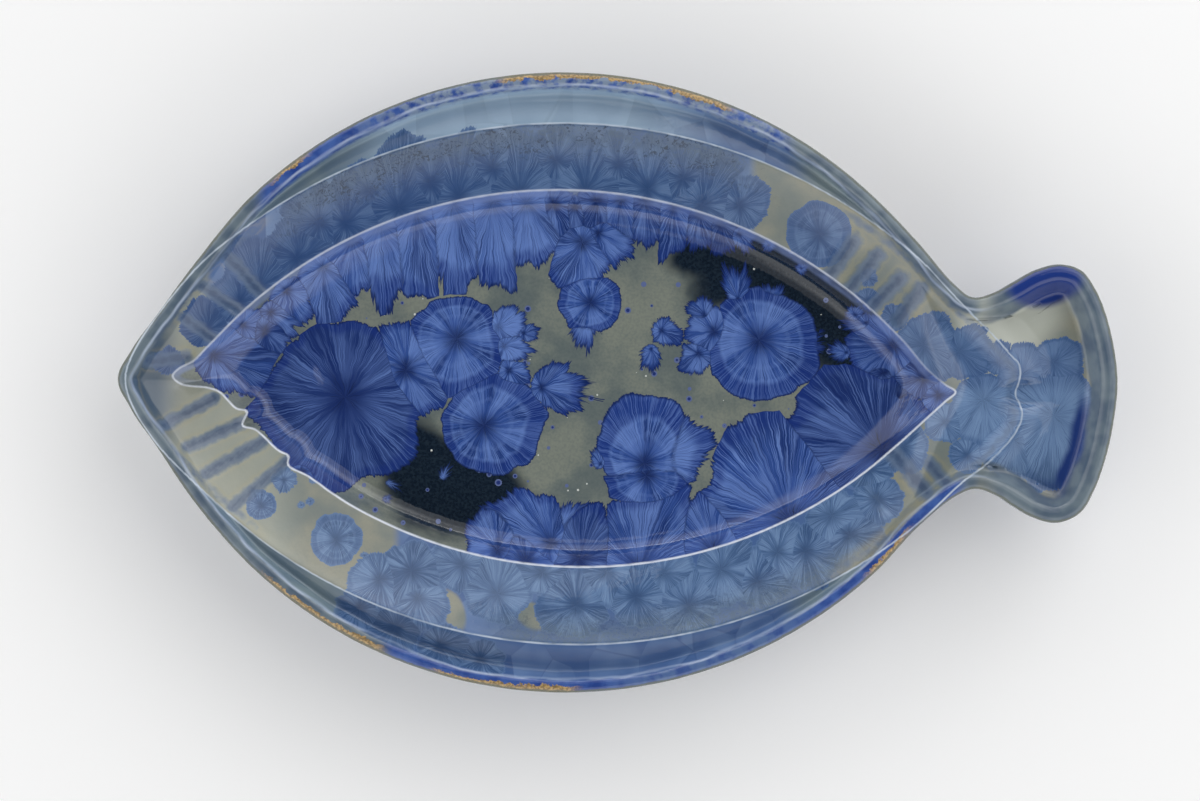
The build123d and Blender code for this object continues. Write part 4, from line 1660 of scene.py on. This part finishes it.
    def specks(self, at: Terrain, color: Socket, cover: Socket) -> Socket:
        """Strews small blue crystals and white flecks over the bare floor.

        Args:
            at: the places.
            color: the well's colour.
            cover: where its crystals lie.

        Returns:
            The colour with these laid over it.
        """
        web, bare = at.web, at.web.less(1.0, cover)
        for scale, least, size, speck in (
                (0.24, 0.5, 0.85, paint(92, 106, 150)), (0.24, 0.5, 0.5, paint(36, 52, 112)),
                (0.31, 0.80, 0.27, paint(206, 210, 206))):
            dots = web.node("TexVoronoi", {"Vector": at.flat, "Scale": scale})
            pick = web.parts(dots.outputs["Color"])
            away = web.math("DIVIDE", dots.outputs["Distance"], scale)
            inside = web.math("LESS_THAN", away, web.mad(pick[1], size, size * 0.4))
            spot = web.times(inside, web.math("GREATER_THAN", pick[0], least), bare)
            color = web.blend(spot, color, speck)
        return color


def wall_group() -> bpy.types.NodeTree:
    """Slate blue glaze, streaked down the wall, that breaks to ochre at the lip and over the foot.

    Returns:
        The node group.
    """
    web, given, end = new_group("wall_colour", {"Place": "Vector"}, {"Color": "Color"})
    place = given["Place"]
    streak = web.noise(web.vector("MULTIPLY", place, (1.0, 1.0, 0.25)), 4.0, 3.0)
    height = web.math("ADD", web.parts(place)[2], web.times(web.less(streak, 0.5), 8.0))
    cloud = web.noise(place, 26.0, 3.0)
    color = web.blend(web.span(cloud, 0.35, 0.65), paint(74, 96, 140), paint(112, 130, 142))
    color = web.blend(web.span(streak, 0.4, 0.7, 0.0, 0.5), color, paint(58, 80, 132))
    color = web.blend(web.span(height, 17.0, 12.5, 0.0, 0.85), color, paint(150, 138, 110))
    color = web.blend(web.span(height, 33.0, 38.0, 0.0, 0.7), color, paint(104, 110, 100))
    web.fill(end, {"Color": color})
    return web.tree


@dataclass(frozen=True)
class OutsideGlaze:
    """The thin glaze outside: slate blue that breaks to ochre at the lip and over the foot."""

    name: str = "outside_glaze"
    roughness: float = 0.14

    def build(self, walls: bpy.types.NodeTree) -> bpy.types.Material:
        """Makes the material.

        Args:
            walls: the group with its colour.

        Returns:
            The material.
        """
        material, web, shader = new_material(self.name)
        place = web.place()
        web.fill(shader, {"Base Color": web.group(walls, {"Place": place}).outputs["Color"], "IOR": 1.52,
                          "Roughness": self.roughness, "Normal": web.relief(web.noise(place, 5.0), 0.15)})
        return material


@dataclass(frozen=True)
class Stoneware:
    """Bare fired clay: warm buff, with fine grog and iron specks."""

    name: str = "stoneware"
    roughness: float = 0.82

    def build(self) -> bpy.types.Material:
        """Makes the material.

        Returns:
            The material.
        """
        material, web, shader = new_material(self.name)
        place = web.place()
        cloud, grain = web.noise(place, 30.0, 3.0), web.noise(place, 0.7, 3.0)
        dots = web.node("TexVoronoi", {"Vector": place, "Scale": 0.35}, voronoi_dimensions="3D")
        iron = web.times(web.math("LESS_THAN", dots.outputs["Distance"], 0.09),
                         web.math("GREATER_THAN", web.parts(dots.outputs["Color"])[0], 0.6), 0.7)
        color = web.blend(web.span(cloud, 0.3, 0.7), paint(196, 176, 146), paint(214, 198, 170))
        color = web.blend(web.span(grain, 0.55, 0.75, 0.0, 0.35), color, paint(150, 124, 92))
        color = web.blend(iron, color, paint(92, 66, 48))
        web.fill(shader, {"Base Color": color, "Roughness": self.roughness,
                          "Normal": web.relief(grain, 0.35, 0.0006)})
        return material


# ---------------------------------------------------------------------------
# Floor, light and camera
# ---------------------------------------------------------------------------
@dataclass(frozen=True)
class Softbox:
    """A soft lamp that points at the platter."""

    name: str
    place: tuple[float, float, float]
    size: tuple[float, float]
    power: float

    def hang(self) -> None:
        """Adds the lamp, aimed at the origin."""
        deselect_all()
        bpy.ops.object.light_add(type="AREA", location=self.place)
        lamp = bpy.context.object
        lamp.name = self.name
        lamp.data.shape = "RECTANGLE"
        lamp.data.size, lamp.data.size_y = self.size
        lamp.data.energy = self.power
        lamp.rotation_euler = (-Vector(self.place)).to_track_quat("-Z", "Y").to_euler()


@dataclass
class Studio:
    """The plain pale floor, the soft light and the camera straight above."""

    softboxes: tuple[Softbox, ...] = (
        Softbox("key_softbox", (1.1, 0.9, 1.6), (2.3, 2.3), 15.4),
        Softbox("fill_softbox", (-1.2, -0.7, 1.6), (2.0, 2.0), 6.2),
        Softbox("far_strip", (0.0, 2.1, 0.45), (2.4, 0.1), 2.6),
    )
    ceiling: float = 0.06
    sides: float = 1.5
    floor_size: float = 12.0
    paper: float = 0.8  # how pale the floor is to the light that it throws on the platter
    paper_seen: float = 0.99  # how pale the camera sees it

    def build(self) -> None:
        """Makes the floor, the lamps, the world and the camera."""
        self.floor()
        for softbox in self.softboxes:
            softbox.hang()
        self.world()
        bpy.context.scene.view_settings.view_transform = "Standard"
        self.camera()

    def floor(self) -> None:
        """A sheet of pale paper, white to the camera where no shadow falls on it."""
        deselect_all()
        bpy.ops.mesh.primitive_plane_add(size=self.floor_size)
        floor = bpy.context.object
        floor.name = "studio_floor"
        material, web, shader = new_material("floor_paper")
        rays = web.node("LightPath").outputs
        seen = web.math("MAXIMUM", rays["Is Camera Ray"], rays["Is Glossy Ray"])
        seen = web.math("MAXIMUM", seen, rays["Is Transmission Ray"])
        thrown, shown = ((pale, pale, pale, 1.0) for pale in (self.paper, self.paper_seen))
        web.fill(shader, {"Base Color": web.blend(seen, thrown, shown), "Roughness": 0.9,
                          "Specular IOR Level": 0.1})
        floor.data.materials.append(material)

    def world(self) -> None:
        """Pale walls all round under a dark ceiling, which keeps the glaze's colours deep from above."""
        world = bpy.data.worlds.new("studio_world")
        world.use_nodes = True
        web = Web(world.node_tree)
        up = web.parts(web.node("TexCoord").outputs["Generated"])[2]
        web.fill(world.node_tree.nodes["Background"], {
            "Color": (1.0, 1.0, 1.0, 1.0), "Strength": web.span(up, 0.5, 0.82, self.sides, self.ceiling)})
        bpy.context.scene.world = world

    def camera(self) -> None:
        """Looks straight down on the lip's plane, turned as the photograph is."""
        x, y = photo_point(PHOTO_SIZE[0] / 2, PHOTO_SIZE[1] / 2)
        place = (x * MM, y * MM, CAMERA_DISTANCE * MM)
        bpy.ops.object.camera_add(location=place, rotation=(0.0, 0.0, CAMERA_ROLL))
        camera = bpy.context.object
        camera.name = "photo_camera"
        camera.data.sensor_width = SENSOR_WIDTH
        camera.data.lens = SENSOR_WIDTH * (CAMERA_DISTANCE - LIP_TOP) / (PHOTO_SIZE[0] * MM_PER_PIXEL)
        camera.data.clip_end = 20.0
        bpy.context.scene.camera = camera


def dress(piece: bpy.types.Object, slot: str, material: bpy.types.Material, *nodes: str) -> None:
    """Gives a piece its body and its material, and reports it.

    Args:
        piece: the piece.
        slot: its slot in the record. It is not used.
        material: its material.
        nodes: the CAD nodes that it replaces.
    """
    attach(piece, "root")
    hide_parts(*nodes)
    piece.data.materials.append(material)
    log.info("%s: %d faces", piece.name, len(piece.data.polygons))


def main() -> None:
    """Builds the platter piece by piece, then the studio round it."""
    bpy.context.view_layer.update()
    platter = Platter()
    inside, outside = platter.inside_glaze(), platter.outside_glaze()
    clay_pieces = [platter.base_dish(), platter.foot_ring(), *platter.clay_under_glaze()]
    walls = wall_group()
    crystal_glaze, outside_glaze = CrystalGlaze().build(walls), OutsideGlaze().build(walls)
    stoneware = Stoneware().build()
    dress(inside, "crystal_glaze", crystal_glaze,
          "well_glaze", "upper_flange_glaze", "lower_flange_glaze", "rim_glaze", "tail_glaze")
    dress(outside, "outside_glaze", outside_glaze, "outside_glaze")
    for piece in clay_pieces:
        dress(piece, "stoneware", stoneware, piece.name.removesuffix("_piece"))
    Studio().build()


if __name__ == "__main__":
    logging.basicConfig(level=logging.INFO)
    main()
